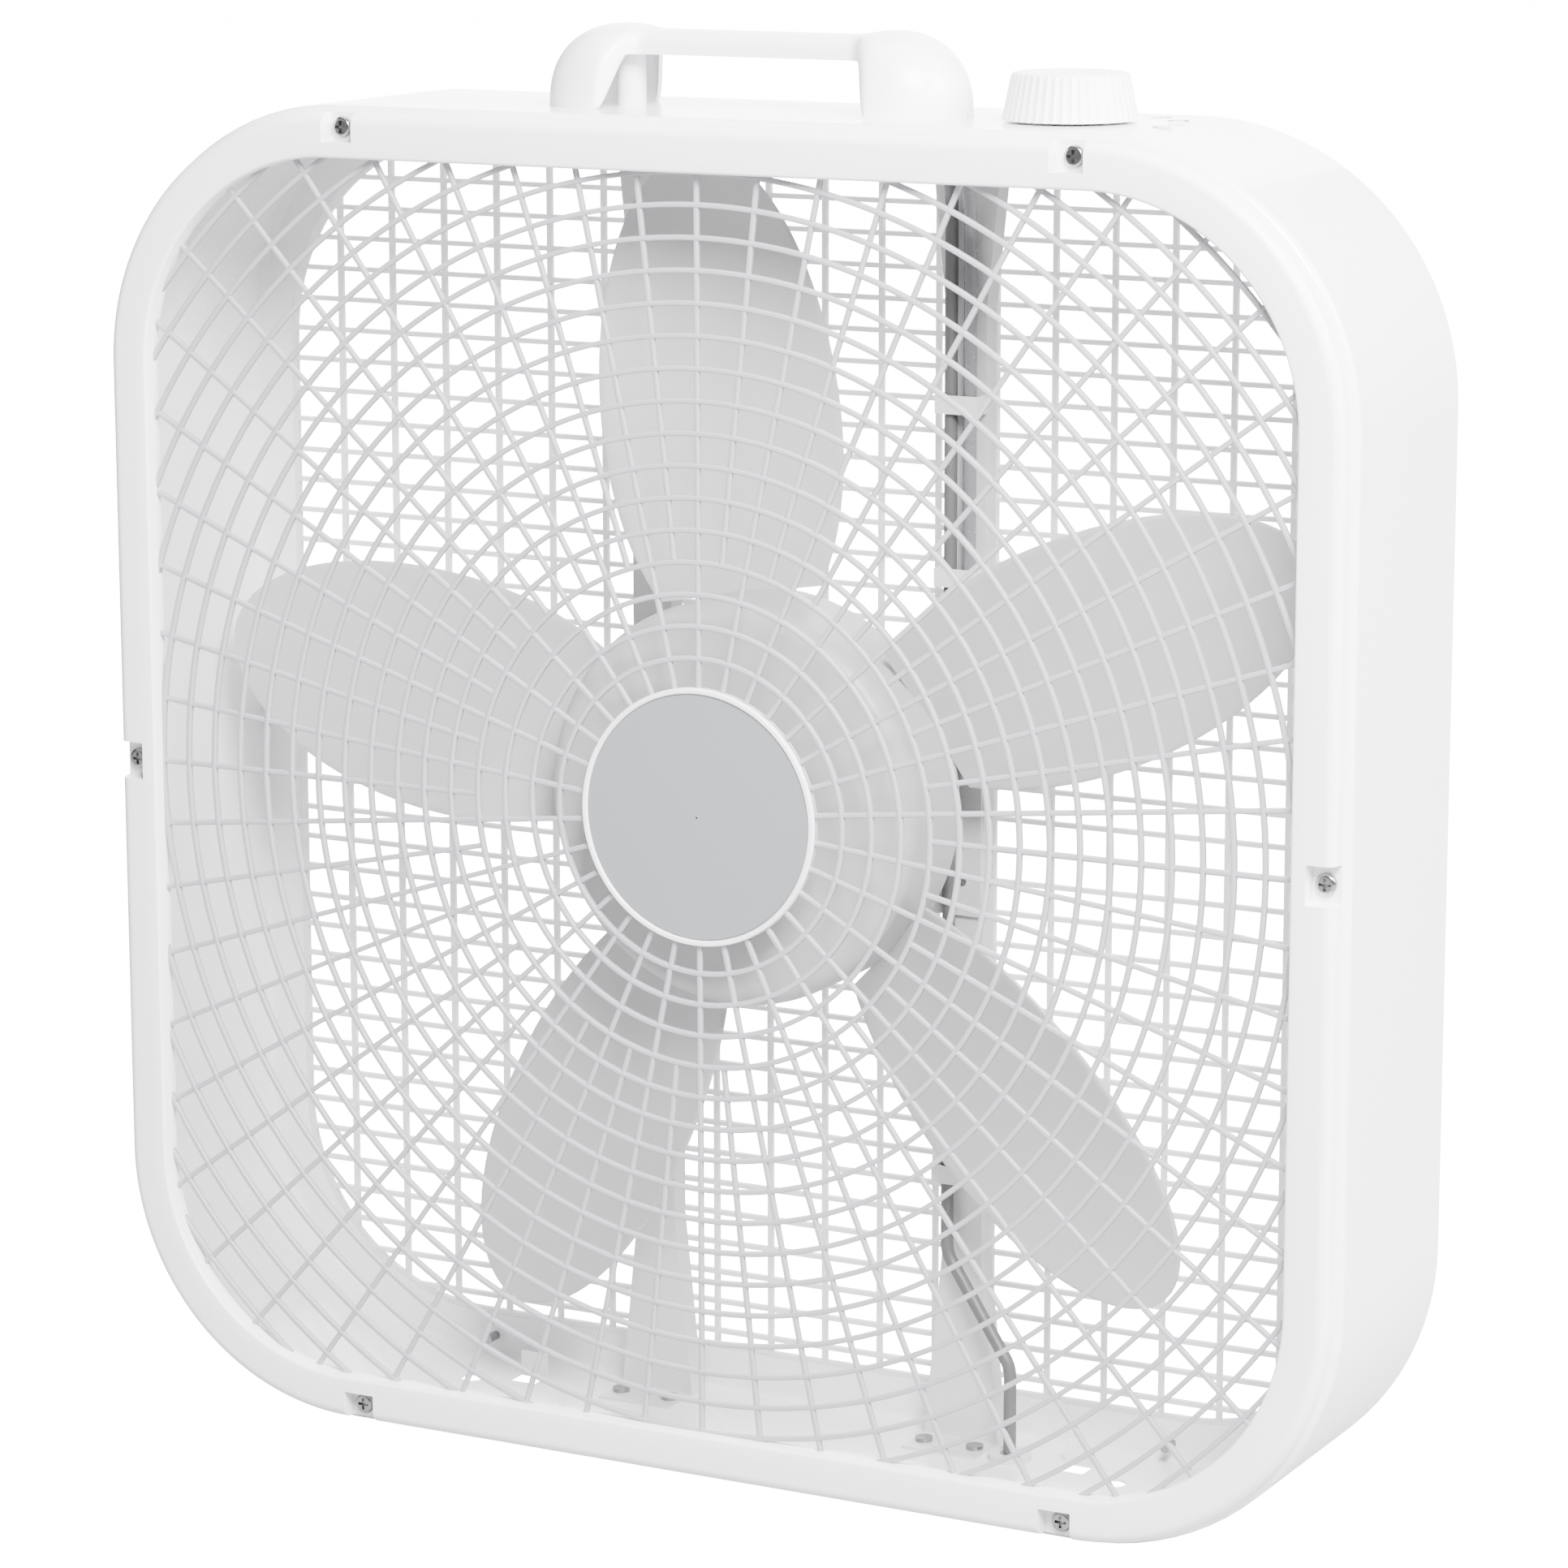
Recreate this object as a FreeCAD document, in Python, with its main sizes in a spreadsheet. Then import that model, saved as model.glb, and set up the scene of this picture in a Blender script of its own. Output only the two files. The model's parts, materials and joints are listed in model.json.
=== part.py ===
import FreeCAD, Part
import math
import os
import re

import Sketcher
from FreeCAD import Placement, Rotation, Vector

# Box fan: a square wrapper of sheet steel with a moulded grille on each side, a five-blade impeller on a
# motor that two struts carry, a carry handle and a speed knob on top.
# +X is to the right seen from the front, +Y runs from the front grille to the rear one, +Z is up.
# The origin is the middle of the underside: Z = 0 is the surface that the fan stands on.

doc = FreeCAD.newDocument("box_fan")
sheet = doc.addObject("Spreadsheet::Sheet", "dims")

DIMENSIONS = [
    # wrapper
    ("band_width", 520, "outer width of the wrapper"),
    ("band_height", 520, "outer height of the wrapper"),
    ("band_depth", 100, "depth of the wrapper between its two bends"),
    ("band_gauge", 0.8, "sheet thickness of the wrapper"),
    ("band_corner", 102, "outer corner radius of the wrapper"),
    ("band_bend", 3.2, "outer bend radius where the flanges turn in"),
    ("flange_front", 15, "front flange, from the outer face inwards"),
    ("flange_rear", 17, "rear flange, from the outer face inwards"),
    # front grille
    ("rim_proud", 8.4, "front rim ahead of the wrapper"),
    ("rim_inset", 2.5, "front rim inside the wrapper's outer face"),
    ("rim_width", 17, "width of the front rim's face"),
    ("rim_wall", 2.2, "wall thickness of the front rim"),
    ("rim_round", 4, "rounding of the front rim's outer edge"),
    ("rib_setback", 5.4, "front of the ribs behind the front of the rim"),
    ("rib_width", 2.0, "width of a grille rib"),
    ("rib_depth", 2.4, "depth of a grille rib"),
    ("ring_pitch", 12.04, "radial distance between two ring ribs"),
    ("spoke_count", 30, "full spokes, and as many short ones between them"),
    ("badge_rings", 4, "ring pitches covered by the centre disc"),
    ("full_spoke_rings", 8, "ring pitches at which the short spokes start"),
    ("badge_edge", 2.2, "width of the raised edge round the badge"),
    ("badge_thickness", 1.2, "thickness of the badge"),
    # rear grille
    ("rear_proud", 2.6, "rear grille behind the wrapper"),
    ("rear_inset", 3, "rear grille inside the wrapper's outer face"),
    ("rear_rim", 16, "width of the rear grille's frame"),
    ("bar_width", 1.8, "width of a rear grille bar"),
    ("upright_pitch", 24.4, "distance between two upright bars"),
    ("crossbar_pitch", 12.4, "distance between two level bars"),
    # grille screws
    ("screw_side", 152, "sideways distance of the top and bottom grille screws from the middle"),
    ("screw_inset", 8, "grille screws inside the wrapper's outer face"),
    ("screw_head", 8, "head diameter of a grille screw"),
    ("screw_head_height", 2.4, "head height of a grille screw"),
    ("screw_shank", 3.8, "shank diameter of a grille screw"),
    ("screw_length", 9, "shank length of a grille screw"),
    ("pocket_width", 14, "width of a screw pocket in the front rim"),
    ("pocket_depth", 11, "reach of a screw pocket from the rim's outer edge"),
    ("pocket_floor", 1.4, "floor thickness of a screw pocket"),
    # impeller
    ("impeller_diameter", 492, "diameter over the blade tips"),
    ("blade_count", 5, "number of blades"),
    ("blade_width", 93, "largest width of a blade"),
    ("blade_belly", 145, "radius at which a blade is widest"),
    ("blade_thickness", 2.0, "thickness of a blade"),
    ("blade_camber", 5, "camber of a blade"),
    ("pitch_root", 22, "blade angle at the hub"),
    ("pitch_tip", 9, "blade angle at the tip"),
    ("blade_turn", 7, "turn of the first blade from straight up at rest"),
    ("blade_plane", 1, "middle of the blades along the axis"),
    ("hub_diameter", 156, "outer diameter of the hub"),
    ("hub_front", -28, "front face of the hub"),
    ("hub_length", 42, "length of the hub"),
    ("hub_wall", 2.2, "wall thickness of the hub"),
    ("hub_round", 7, "rounding of the hub's front edge"),
    ("hub_boss", 18, "diameter of the boss on the shaft"),
    ("hub_boss_length", 12, "length of the boss behind the hub's front wall"),
    ("clip_wall", 1.2, "thickness of the spring clip round the boss"),
    ("clip_width", 6, "width of the spring clip round the boss"),
    # motor
    ("shaft_diameter", 8, "motor shaft"),
    ("running_gap", 0.03, "radial clearance of a shaft in its bearing"),
    ("motor_diameter", 90, "outer diameter of the motor covers"),
    ("motor_wall", 2, "wall thickness of the motor covers"),
    ("motor_front", -10, "front face of the motor"),
    ("motor_length", 46.5, "length of the motor over both covers"),
    ("stator_bore", 46.8, "bore of the stator"),
    ("rotor_diameter", 46, "outer diameter of the rotor"),
    ("stack_length", 22, "length of the stator and rotor stacks"),
    ("stack_front", 4, "front end of the stator and rotor stacks"),
    ("slot_count", 8, "slots in the stator"),
    ("slot_diameter", 9, "diameter of a stator slot"),
    ("slot_circle", 31, "radius on which the slots lie"),
    ("end_turn", 6, "length of the winding's end turns"),
    ("bearing_diameter", 16, "outer diameter of a sleeve bearing"),
    ("bearing_length", 10, "length of a sleeve bearing"),
    ("washer_diameter", 14, "outer diameter of a thrust washer"),
    ("washer_thickness", 0.8, "thickness of a thrust washer"),
    ("ear_diameter", 12, "diameter of a motor ear"),
    ("ear_circle", 49, "radius on which the ears lie"),
    ("ear_length", 8, "length of a front ear"),
    ("bolt_diameter", 4, "motor bolts"),
    ("bolt_clearance", 0.2, "radial clearance of a bolt or screw in a plain hole"),
    ("bolt_head", 7, "head diameter of a motor bolt"),
    ("bolt_head_height", 3, "head height of a motor bolt, and of its nut"),
    # struts and motor plate
    ("strut_side", 68, "sideways distance of a strut from the middle"),
    ("strut_width", 17, "width of a strut"),
    ("strut_depth", 9, "depth of a strut's channel"),
    ("strut_gauge", 1.0, "sheet thickness of a strut"),
    ("foot_width", 32, "width of a strut at its foot"),
    ("foot_height", 74, "height over which a strut widens"),
    ("foot_reach", 20, "length of the flange at a strut's foot"),
    ("foot_screw_spacing", 22, "distance between the two rivets of a foot"),
    ("rivet_diameter", 4, "shank diameter of a foot rivet"),
    ("rivet_head", 7, "head diameter of a foot rivet"),
    ("rivet_head_height", 1.6, "head height of a foot rivet"),
    ("plate_gauge", 1.5, "sheet thickness of the motor plate"),
    ("plate_width", 152, "width of the motor plate"),
    ("plate_height", 96, "height of the motor plate"),
    ("plate_bore", 26, "hole in the middle of the motor plate"),
    # top fittings
    ("fittings_line", 0, "handle and knob along Y"),
    ("handle_length", 172, "length of the handle"),
    ("handle_height", 31, "height of the handle's ends above the wrapper"),
    ("handle_depth", 50, "depth of the handle's ends"),
    ("handle_end", 29, "length of a handle end from its tip to its highest point"),
    ("handle_gap", 112, "clear length between the handle's ends"),
    ("handle_wall", 3, "wall thickness of the handle's ends"),
    ("grip_top", 29.2, "top of the grip above the wrapper"),
    ("grip_thickness", 9, "thickness of the grip"),
    ("grip_depth", 22, "depth of the grip"),
    ("handle_post", 11, "diameter of a screw post in the handle"),
    ("post_side", 54, "sideways distance of a screw post from the middle"),
    ("handle_screw_head", 9, "head diameter of a handle screw"),
    ("handle_screw_length", 14, "length of a handle screw in its post"),
    ("knob_side", 127.5, "sideways distance of the knob from the middle"),
    ("knob_base", 49.6, "diameter of the knob at its base"),
    ("knob_crown", 42.6, "diameter of the knob at its top"),
    ("knob_height", 17, "height of the knob"),
    ("knob_lift", 1.0, "gap between the knob and the wrapper"),
    ("knob_wall", 2.6, "wall thickness of the knob"),
    ("knob_flutes", 45, "flutes round the knob"),
    ("flute_radius", 1.0, "radius of a flute"),
    ("knob_boss", 11, "diameter of the boss in the knob"),
    ("switch_width", 32, "width and depth of the switch body"),
    ("switch_height", 16, "height of the switch body"),
    ("switch_bush", 9.4, "diameter of the switch's threaded bush"),
    ("switch_bush_length", 6, "height of the bush above the wrapper's inner face"),
    ("switch_shaft_diameter", 6, "switch shaft"),
    ("switch_shaft_length", 15, "height of the switch shaft above the wrapper"),
    ("nut_width", 14, "diameter over the corners of the switch's nut"),
    ("nut_height", 2.6, "height of the switch's nut"),
    # wrapper details and electrics
    ("foot_hole", 9, "hole for a clip-on foot"),
    ("foot_hole_side", 143, "sideways distance of a foot hole"),
    ("foot_hole_line", 18, "foot holes along Y"),
    ("tab_width", 12, "width of a lanced foot tab"),
    ("tab_height", 10, "height of a lanced foot tab"),
    ("tab_side", 122, "sideways distance of a foot tab"),
    ("tab_line", 32, "foot tabs along Y"),
    ("inlet_bore", 8, "bore of the cord inlet bush"),
    ("inlet_wall", 2, "wall of the cord inlet bush"),
    ("inlet_collar", 17, "diameter of the inlet bush's collar"),
    ("inlet_collar_height", 2.4, "height of the inlet bush's collar"),
    ("inlet_side", 95, "cord inlet along X"),
    ("inlet_line", 26, "cord inlet along Y"),
    ("lead_diameter", 5, "leads inside the fan"),
    ("lead_gap", 8, "distance between the two leads on the strut"),
    ("lead_bend", 12, "bend radius of the leads"),
    ("capacitor_width", 20, "width of the run capacitor"),
    ("capacitor_depth", 13, "depth of the run capacitor"),
    ("capacitor_height", 38, "height of the run capacitor"),
    ("capacitor_side", 47, "capacitor's middle left of the shaft"),
    ("strap_gauge", 1.2, "thickness of a lead clip or capacitor strap"),
    ("strap_width", 7, "width of a lead clip or capacitor strap"),
]

for row, (alias, value, meaning) in enumerate(DIMENSIONS, start=1):
    sheet.set(f"A{row}", meaning)
    sheet.set(f"B{row}", str(value))
    sheet.setAlias(f"B{row}", alias)
doc.recompute()

dim = {alias: float(sheet.get(alias)) for alias, value, meaning in DIMENSIONS}

# Places that many pieces share, as formulas of the sheet's cells.
SHAFT_Z = "(band_height / 2)"
BAND_MID = "((rim_proud - rear_proud) / 2)"
BAND_FRONT = f"({BAND_MID} - band_depth / 2)"
BAND_REAR = f"({BAND_MID} + band_depth / 2)"
MOTOR_BACK = "(motor_front + motor_length)"
WEB_FRONT = f"({MOTOR_BACK} + plate_gauge)"
ROOF = "(band_height - band_gauge)"

band_mid = (dim["rim_proud"] - dim["rear_proud"]) / 2
band_front = band_mid - dim["band_depth"] / 2
band_rear = band_mid + dim["band_depth"] / 2
shaft_z = dim["band_height"] / 2
motor_back = dim["motor_front"] + dim["motor_length"]
web_front = motor_back + dim["plate_gauge"]
roof = dim["band_height"] - dim["band_gauge"]
opening_half_x = dim["band_width"] / 2 - dim["rim_inset"] - dim["rim_width"]
opening_half_z = dim["band_height"] / 2 - dim["rim_inset"] - dim["rim_width"]
opening_corner = dim["band_corner"] - dim["rim_inset"] - dim["rim_width"]
SCREW_SPOTS = [(side * dim["screw_side"], level * (shaft_z - dim["screw_inset"]))
               for level in (1, -1) for side in (-1, 1)]
SCREW_SPOTS += [(side * (dim["band_width"] / 2 - dim["screw_inset"]), 0.0) for side in (-1, 1)]

ALONG_Y = Rotation(Vector(1, 0, 0), -90)   # turns a piece made along +Z to run along +Y
node_objects = []


# ---------------------------------------------------------------- helpers: bound primitives

def bind(item, prop, formula):
    """Bind a property to a formula of the sheet's aliases."""
    item.setExpression(prop, re.sub(r"[a-z]+(?:_[a-z]+)+", lambda word: "dims." + word.group(), str(formula)))


def place(item, x, y, z):
    for axis, formula in zip("xyz", (x, y, z)):
        bind(item, f"Placement.Base.{axis}", formula)
    return item


def block(size, corner):
    """A box of the given size from its lowest corner."""
    item = doc.addObject("Part::Box", "block")
    for prop, formula in zip(("Length", "Width", "Height"), size):
        bind(item, prop, formula)
    return place(item, *corner)


def drum(diameter, length, start, x="0", z=SHAFT_Z):
    """A cylinder along +Y that starts at the given Y."""
    item = doc.addObject("Part::Cylinder", "drum")
    item.Placement = Placement(Vector(), ALONG_Y)
    bind(item, "Radius", f"({diameter}) / 2")
    bind(item, "Height", length)
    return place(item, x, start, z)


def post(diameter, length, x, y, foot):
    """A cylinder along +Z that starts at the given Z."""
    item = doc.addObject("Part::Cylinder", "post")
    bind(item, "Radius", f"({diameter}) / 2")
    bind(item, "Height", length)
    return place(item, x, y, foot)


def fuse(items):
    if len(items) == 1:
        return items[0]
    result = doc.addObject("Part::MultiFuse", "fusion")
    result.Shapes = items
    return result


def cut(base, tools):
    result = doc.addObject("Part::Cut", "cut")
    result.Base = base
    result.Tool = fuse(tools)
    return result


def node(item, label):
    """Name an object as one of the fan's pieces."""
    item.Label = label
    node_objects.append(item)
    return item


def group(items, label):
    """Separate solids of the same kind under one name."""
    result = doc.addObject("Part::Compound", "group")
    result.Links = items
    return node(result, label)


def feature(shape, label):
    """A piece whose shape is worked out here from the sheet's values."""
    item = doc.addObject("Part::Feature", label)
    item.Shape = shape
    return node(item, label)


# ---------------------------------------------------------------- helpers: bodies and sketches

def new_body(label, x="0", y="0", z="0"):
    body = doc.addObject("PartDesign::Body", label)
    place(body, x, y, z)
    return node(body, label)


def new_sketch(body, role, name):
    sketch = body.newObject("Sketcher::SketchObject", name)
    plane = [item for item in body.Origin.OriginFeatures if item.Role == role][0]
    sketch.AttachmentSupport = [(plane, "")]
    sketch.MapMode = "FlatFace"
    return sketch


def rounded_frame(sketch, width, height, corner, start):
    """A rounded rectangle about the sketch's origin; start holds its width, height and corner radius."""
    half_w, half_h, radius = start[0] / 2, start[1] / 2, start[2]
    ends = [(half_w - radius, -half_h), (half_w, half_h - radius),
            (radius - half_w, half_h), (-half_w, radius - half_h)]
    starts = [(radius - half_w, -half_h), (half_w, radius - half_h),
              (half_w - radius, half_h), (-half_w, half_h - radius)]
    for (x0, y0), (x1, y1) in zip(starts, ends):
        sketch.addGeometry(Part.LineSegment(Vector(x0, y0, 0), Vector(x1, y1, 0)))
    for turn, (sx, sy) in enumerate(((1, -1), (1, 1), (-1, 1), (-1, -1))):
        centre = Vector(sx * (half_w - radius), sy * (half_h - radius), 0)
        circle = Part.Circle(centre, Vector(0, 0, 1), radius)
        first = math.radians(-90 + 90 * turn)
        sketch.addGeometry(Part.ArcOfCircle(circle, first, first + math.pi / 2))
    for side in range(4):
        sketch.addConstraint(Sketcher.Constraint("Tangent", side, 2, 4 + side, 1))
        sketch.addConstraint(Sketcher.Constraint("Tangent", 4 + side, 2, (side + 1) % 4, 1))
    sketch.addConstraint(Sketcher.Constraint("Horizontal", 0))
    sketch.addConstraint(Sketcher.Constraint("Vertical", 1))
    sketch.addConstraint(Sketcher.Constraint("Horizontal", 2))
    for arc in (5, 6, 7):
        sketch.addConstraint(Sketcher.Constraint("Equal", 4, arc))
    named = (("radius", Sketcher.Constraint("Radius", 4, radius), corner),
             ("right", Sketcher.Constraint("DistanceX", -1, 1, 1, 1, half_w), f"({width}) / 2"),
             ("left", Sketcher.Constraint("DistanceX", 3, 1, -1, 1, half_w), f"({width}) / 2"),
             ("top", Sketcher.Constraint("DistanceY", -1, 1, 2, 1, half_h), f"({height}) / 2"),
             ("bottom", Sketcher.Constraint("DistanceY", 0, 1, -1, 1, half_h), f"({height}) / 2"))
    for name, constraint, formula in named:
        sketch.renameConstraint(sketch.addConstraint(constraint), name)
        bind(sketch, f"Constraints.{name}", formula)


def round_hole(sketch, name, diameter, x, y, start):
    """A circle with bound size and place; start holds its diameter, x and y."""
    index = sketch.addGeometry(Part.Circle(Vector(start[1], start[2], 0), Vector(0, 0, 1), start[0] / 2))
    named = ((f"{name}_d", Sketcher.Constraint("Diameter", index, start[0]), diameter),
             (f"{name}_x", Sketcher.Constraint("DistanceX", -1, 1, index, 3, start[1]), x),
             (f"{name}_y", Sketcher.Constraint("DistanceY", -1, 1, index, 3, start[2]), y))
    for label, constraint, formula in named:
        sketch.renameConstraint(sketch.addConstraint(constraint), label)
        bind(sketch, f"Constraints.{label}", formula)


def rounded_slab(half_x, half_z, radius, front, back):
    """A solid rounded rectangle about the fan's axis, between two Y planes."""
    slab = Part.makeBox(2 * half_x, back - front, 2 * half_z, Vector(-half_x, front, shaft_z - half_z))
    upright = [edge for edge in slab.Edges if abs(edge.tangentAt(edge.FirstParameter).y) > 0.99]
    return slab.makeFillet(radius, upright)


# ---------------------------------------------------------------- wrapper

def make_band():
    """Sheet-steel wrapper: a rounded square tube whose two open sides turn in as flanges."""
    body = new_body("band", "0", BAND_MID, SHAFT_Z)
    outer = new_sketch(body, "XZ_Plane", "band_outline")
    rounded_frame(outer, "band_width", "band_height", "band_corner",
                  (dim["band_width"], dim["band_height"], dim["band_corner"]))
    pad = body.newObject("PartDesign::Pad", "band_block")
    pad.Profile = outer
    pad.Midplane = True
    bind(pad, "Length", "band_depth")

    inner = new_sketch(body, "XZ_Plane", "band_inside")
    gauge = dim["band_gauge"]
    rounded_frame(inner, "band_width - 2 * band_gauge", "band_height - 2 * band_gauge",
                  "band_corner - band_gauge",
                  (dim["band_width"] - 2 * gauge, dim["band_height"] - 2 * gauge, dim["band_corner"] - gauge))
    hollow = body.newObject("PartDesign::Pocket", "band_hollow")
    hollow.Profile = inner
    hollow.Midplane = True
    bind(hollow, "Length", "band_depth - 2 * band_gauge")
    solid = hollow
    for name, level, radius in (("band_inner_bends", dim["band_depth"] / 2 - gauge, "band_bend - band_gauge"),
                                ("band_bends", dim["band_depth"] / 2, "band_bend")):
        doc.recompute()
        rims = [f"Edge{number}" for number, edge in enumerate(solid.Shape.Edges, start=1)
                if edge.BoundBox.YLength < 1e-6 and abs(abs(edge.BoundBox.YMin) - level) < 1e-6]
        bend = body.newObject("PartDesign::Fillet", name)
        bend.Base = (solid, rims)
        bind(bend, "Radius", radius)
        solid = bend

    for name, flange, backwards in (("front", "flange_front", False), ("rear", "flange_rear", True)):
        mouth = new_sketch(body, "XZ_Plane", f"band_{name}_mouth")
        lip = dim[flange]
        rounded_frame(mouth, f"band_width - 2 * {flange}", f"band_height - 2 * {flange}",
                      f"band_corner - {flange}",
                      (dim["band_width"] - 2 * lip, dim["band_height"] - 2 * lip, dim["band_corner"] - lip))
        opening = body.newObject("PartDesign::Pocket", f"band_{name}_opening")
        opening.Profile = mouth
        opening.Reversed = not backwards
        bind(opening, "Length", "band_depth")

    drilled = new_sketch(body, "XZ_Plane", "band_grille_holes")
    for number, (x, z) in enumerate(SCREW_SPOTS):
        side = f"{'-' if x < 0 else ''}screw_side" if z else f"{'-' if x < 0 else ''}(band_width / 2 - screw_inset)"
        level = f"{'-' if z < 0 else ''}(band_height / 2 - screw_inset)" if z else "0"
        round_hole(drilled, f"hole{'abcdef'[number]}", "screw_shank", side, level, (dim["screw_shank"], x, z))
    screw_holes = body.newObject("PartDesign::Pocket", "band_screw_holes")
    screw_holes.Profile = drilled
    screw_holes.Midplane = True
    bind(screw_holes, "Length", "2 * band_depth")

    plan = new_sketch(body, "XY_Plane", "band_top_holes")
    fittings = dim["fittings_line"] - band_mid
    for name, size, x in (("bush", "switch_bush", "knob_side"), ("posta", "bolt_diameter", "-post_side"),
                          ("postb", "bolt_diameter", "post_side")):
        place_x = dim["knob_side"] if name == "bush" else (-1 if x[0] == "-" else 1) * dim["post_side"]
        round_hole(plan, name, size, x, f"fittings_line - {BAND_MID}", (dim[size], place_x, fittings))
    top_holes = body.newObject("PartDesign::Pocket", "band_top_cuts")
    top_holes.Profile = plan
    top_holes.Reversed = True
    bind(top_holes, "Length", "band_height")

    floor = new_sketch(body, "XY_Plane", "band_floor_holes")
    for name, side in (("foota", -1), ("footb", 1)):
        round_hole(floor, name, "foot_hole", f"{side} * foot_hole_side", f"foot_hole_line - {BAND_MID}",
                   (dim["foot_hole"], side * dim["foot_hole_side"], dim["foot_hole_line"] - band_mid))
    round_hole(floor, "inlet", "inlet_bore + 2 * inlet_wall", "inlet_side", f"inlet_line - {BAND_MID}",
               (dim["inlet_bore"] + 2 * dim["inlet_wall"], dim["inlet_side"], dim["inlet_line"] - band_mid))
    for foot in (-1, 1):
        for hole in (-1, 1):
            name = f"rivet{'ab'[(foot + 1) // 2]}{'ab'[(hole + 1) // 2]}"
            round_hole(floor, name, "rivet_diameter",
                       f"{foot} * strut_side + {hole} * foot_screw_spacing / 2",
                       f"{WEB_FRONT} - foot_reach / 2 - {BAND_MID}",
                       (dim["rivet_diameter"], foot * dim["strut_side"] + hole * dim["foot_screw_spacing"] / 2,
                        web_front - dim["foot_reach"] / 2 - band_mid))
    floor_holes = body.newObject("PartDesign::Pocket", "band_floor_cuts")
    floor_holes.Profile = floor
    bind(floor_holes, "Length", "band_height")
    doc.recompute()
    return body


def add_foot_tabs(band):
    """Two lanced tabs stand up from the wrapper's floor, each behind the window that it was bent from."""
    node_objects.remove(band)
    band.Label = "band_shell"
    windows = []
    tabs = []
    for side in (-1, 1):
        left = f"{side} * tab_side - tab_width / 2"
        windows.append(block(("tab_width", "tab_height", "3 * band_gauge"),
                             (left, "tab_line - tab_height", "-band_gauge")))
        tabs.append(block(("tab_width", "band_gauge", "tab_height"), (left, "tab_line", "band_gauge / 2")))
    opened = cut(band, windows)
    return node(fuse([opened] + tabs), "band")


# ---------------------------------------------------------------- grilles

def depth_inside(x, z, half_x, half_z, corner):
    """How far a point lies inside a rounded rectangle about the fan's axis; negative outside."""
    over_x, over_z = abs(x) - (half_x - corner), abs(z) - (half_z - corner)
    return corner - math.hypot(max(over_x, 0), max(over_z, 0)) - min(max(over_x, over_z), 0)


def fitted_cell(wire, limit, frame):
    """A cell's outline as it is inside the frame, cut to the limit face near the edge, and none outside."""
    points = [vertex.Point for vertex in wire.Vertexes] + [wire.CenterOfMass]
    depths = [depth_inside(point.x, point.z - shaft_z, *frame) for point in points]
    if min(depths) > 0.5:
        return [wire]
    if max(depths) < 0:
        return []
    common_part = Part.Face(wire).common(limit)
    return [face.OuterWire for face in common_part.Faces if face.Area > dim["rib_width"] ** 2]


def flat_frame(half_x, half_z, radius, y):
    """A flat rounded rectangle about the fan's axis, as a face in the plane of the given Y."""
    slab = rounded_slab(half_x, half_z, radius, y, y + 1)
    return [face for face in slab.Faces if abs(face.CenterOfMass.y - y) < 1e-6][0]


def sector(inner, outer, first, last, y):
    """An opening between two rings and two spokes; the spokes' sides are parallel, half a rib off the ray."""
    half_rib = dim["rib_width"] / 2

    def corner(radius, ray, side):
        angle = math.radians(ray) + side * math.asin(half_rib / radius)
        return Vector(radius * math.cos(angle), y, shaft_z + radius * math.sin(angle))

    def bow(radius, start, end):
        a = math.radians(start) + math.asin(half_rib / radius)
        b = math.radians(end) - math.asin(half_rib / radius)
        middle = (a + b) / 2
        halfway = Vector(radius * math.cos(middle), y, shaft_z + radius * math.sin(middle))
        return Part.Arc(corner(radius, start, 1), halfway, corner(radius, end, -1)).toShape()

    edges = [bow(inner, first, last),
             Part.LineSegment(corner(inner, last, -1), corner(outer, last, -1)).toShape(),
             bow(outer, first, last),
             Part.LineSegment(corner(outer, first, 1), corner(inner, first, 1)).toShape()]
    return Part.Wire(Part.__sortEdges__(edges))


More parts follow.
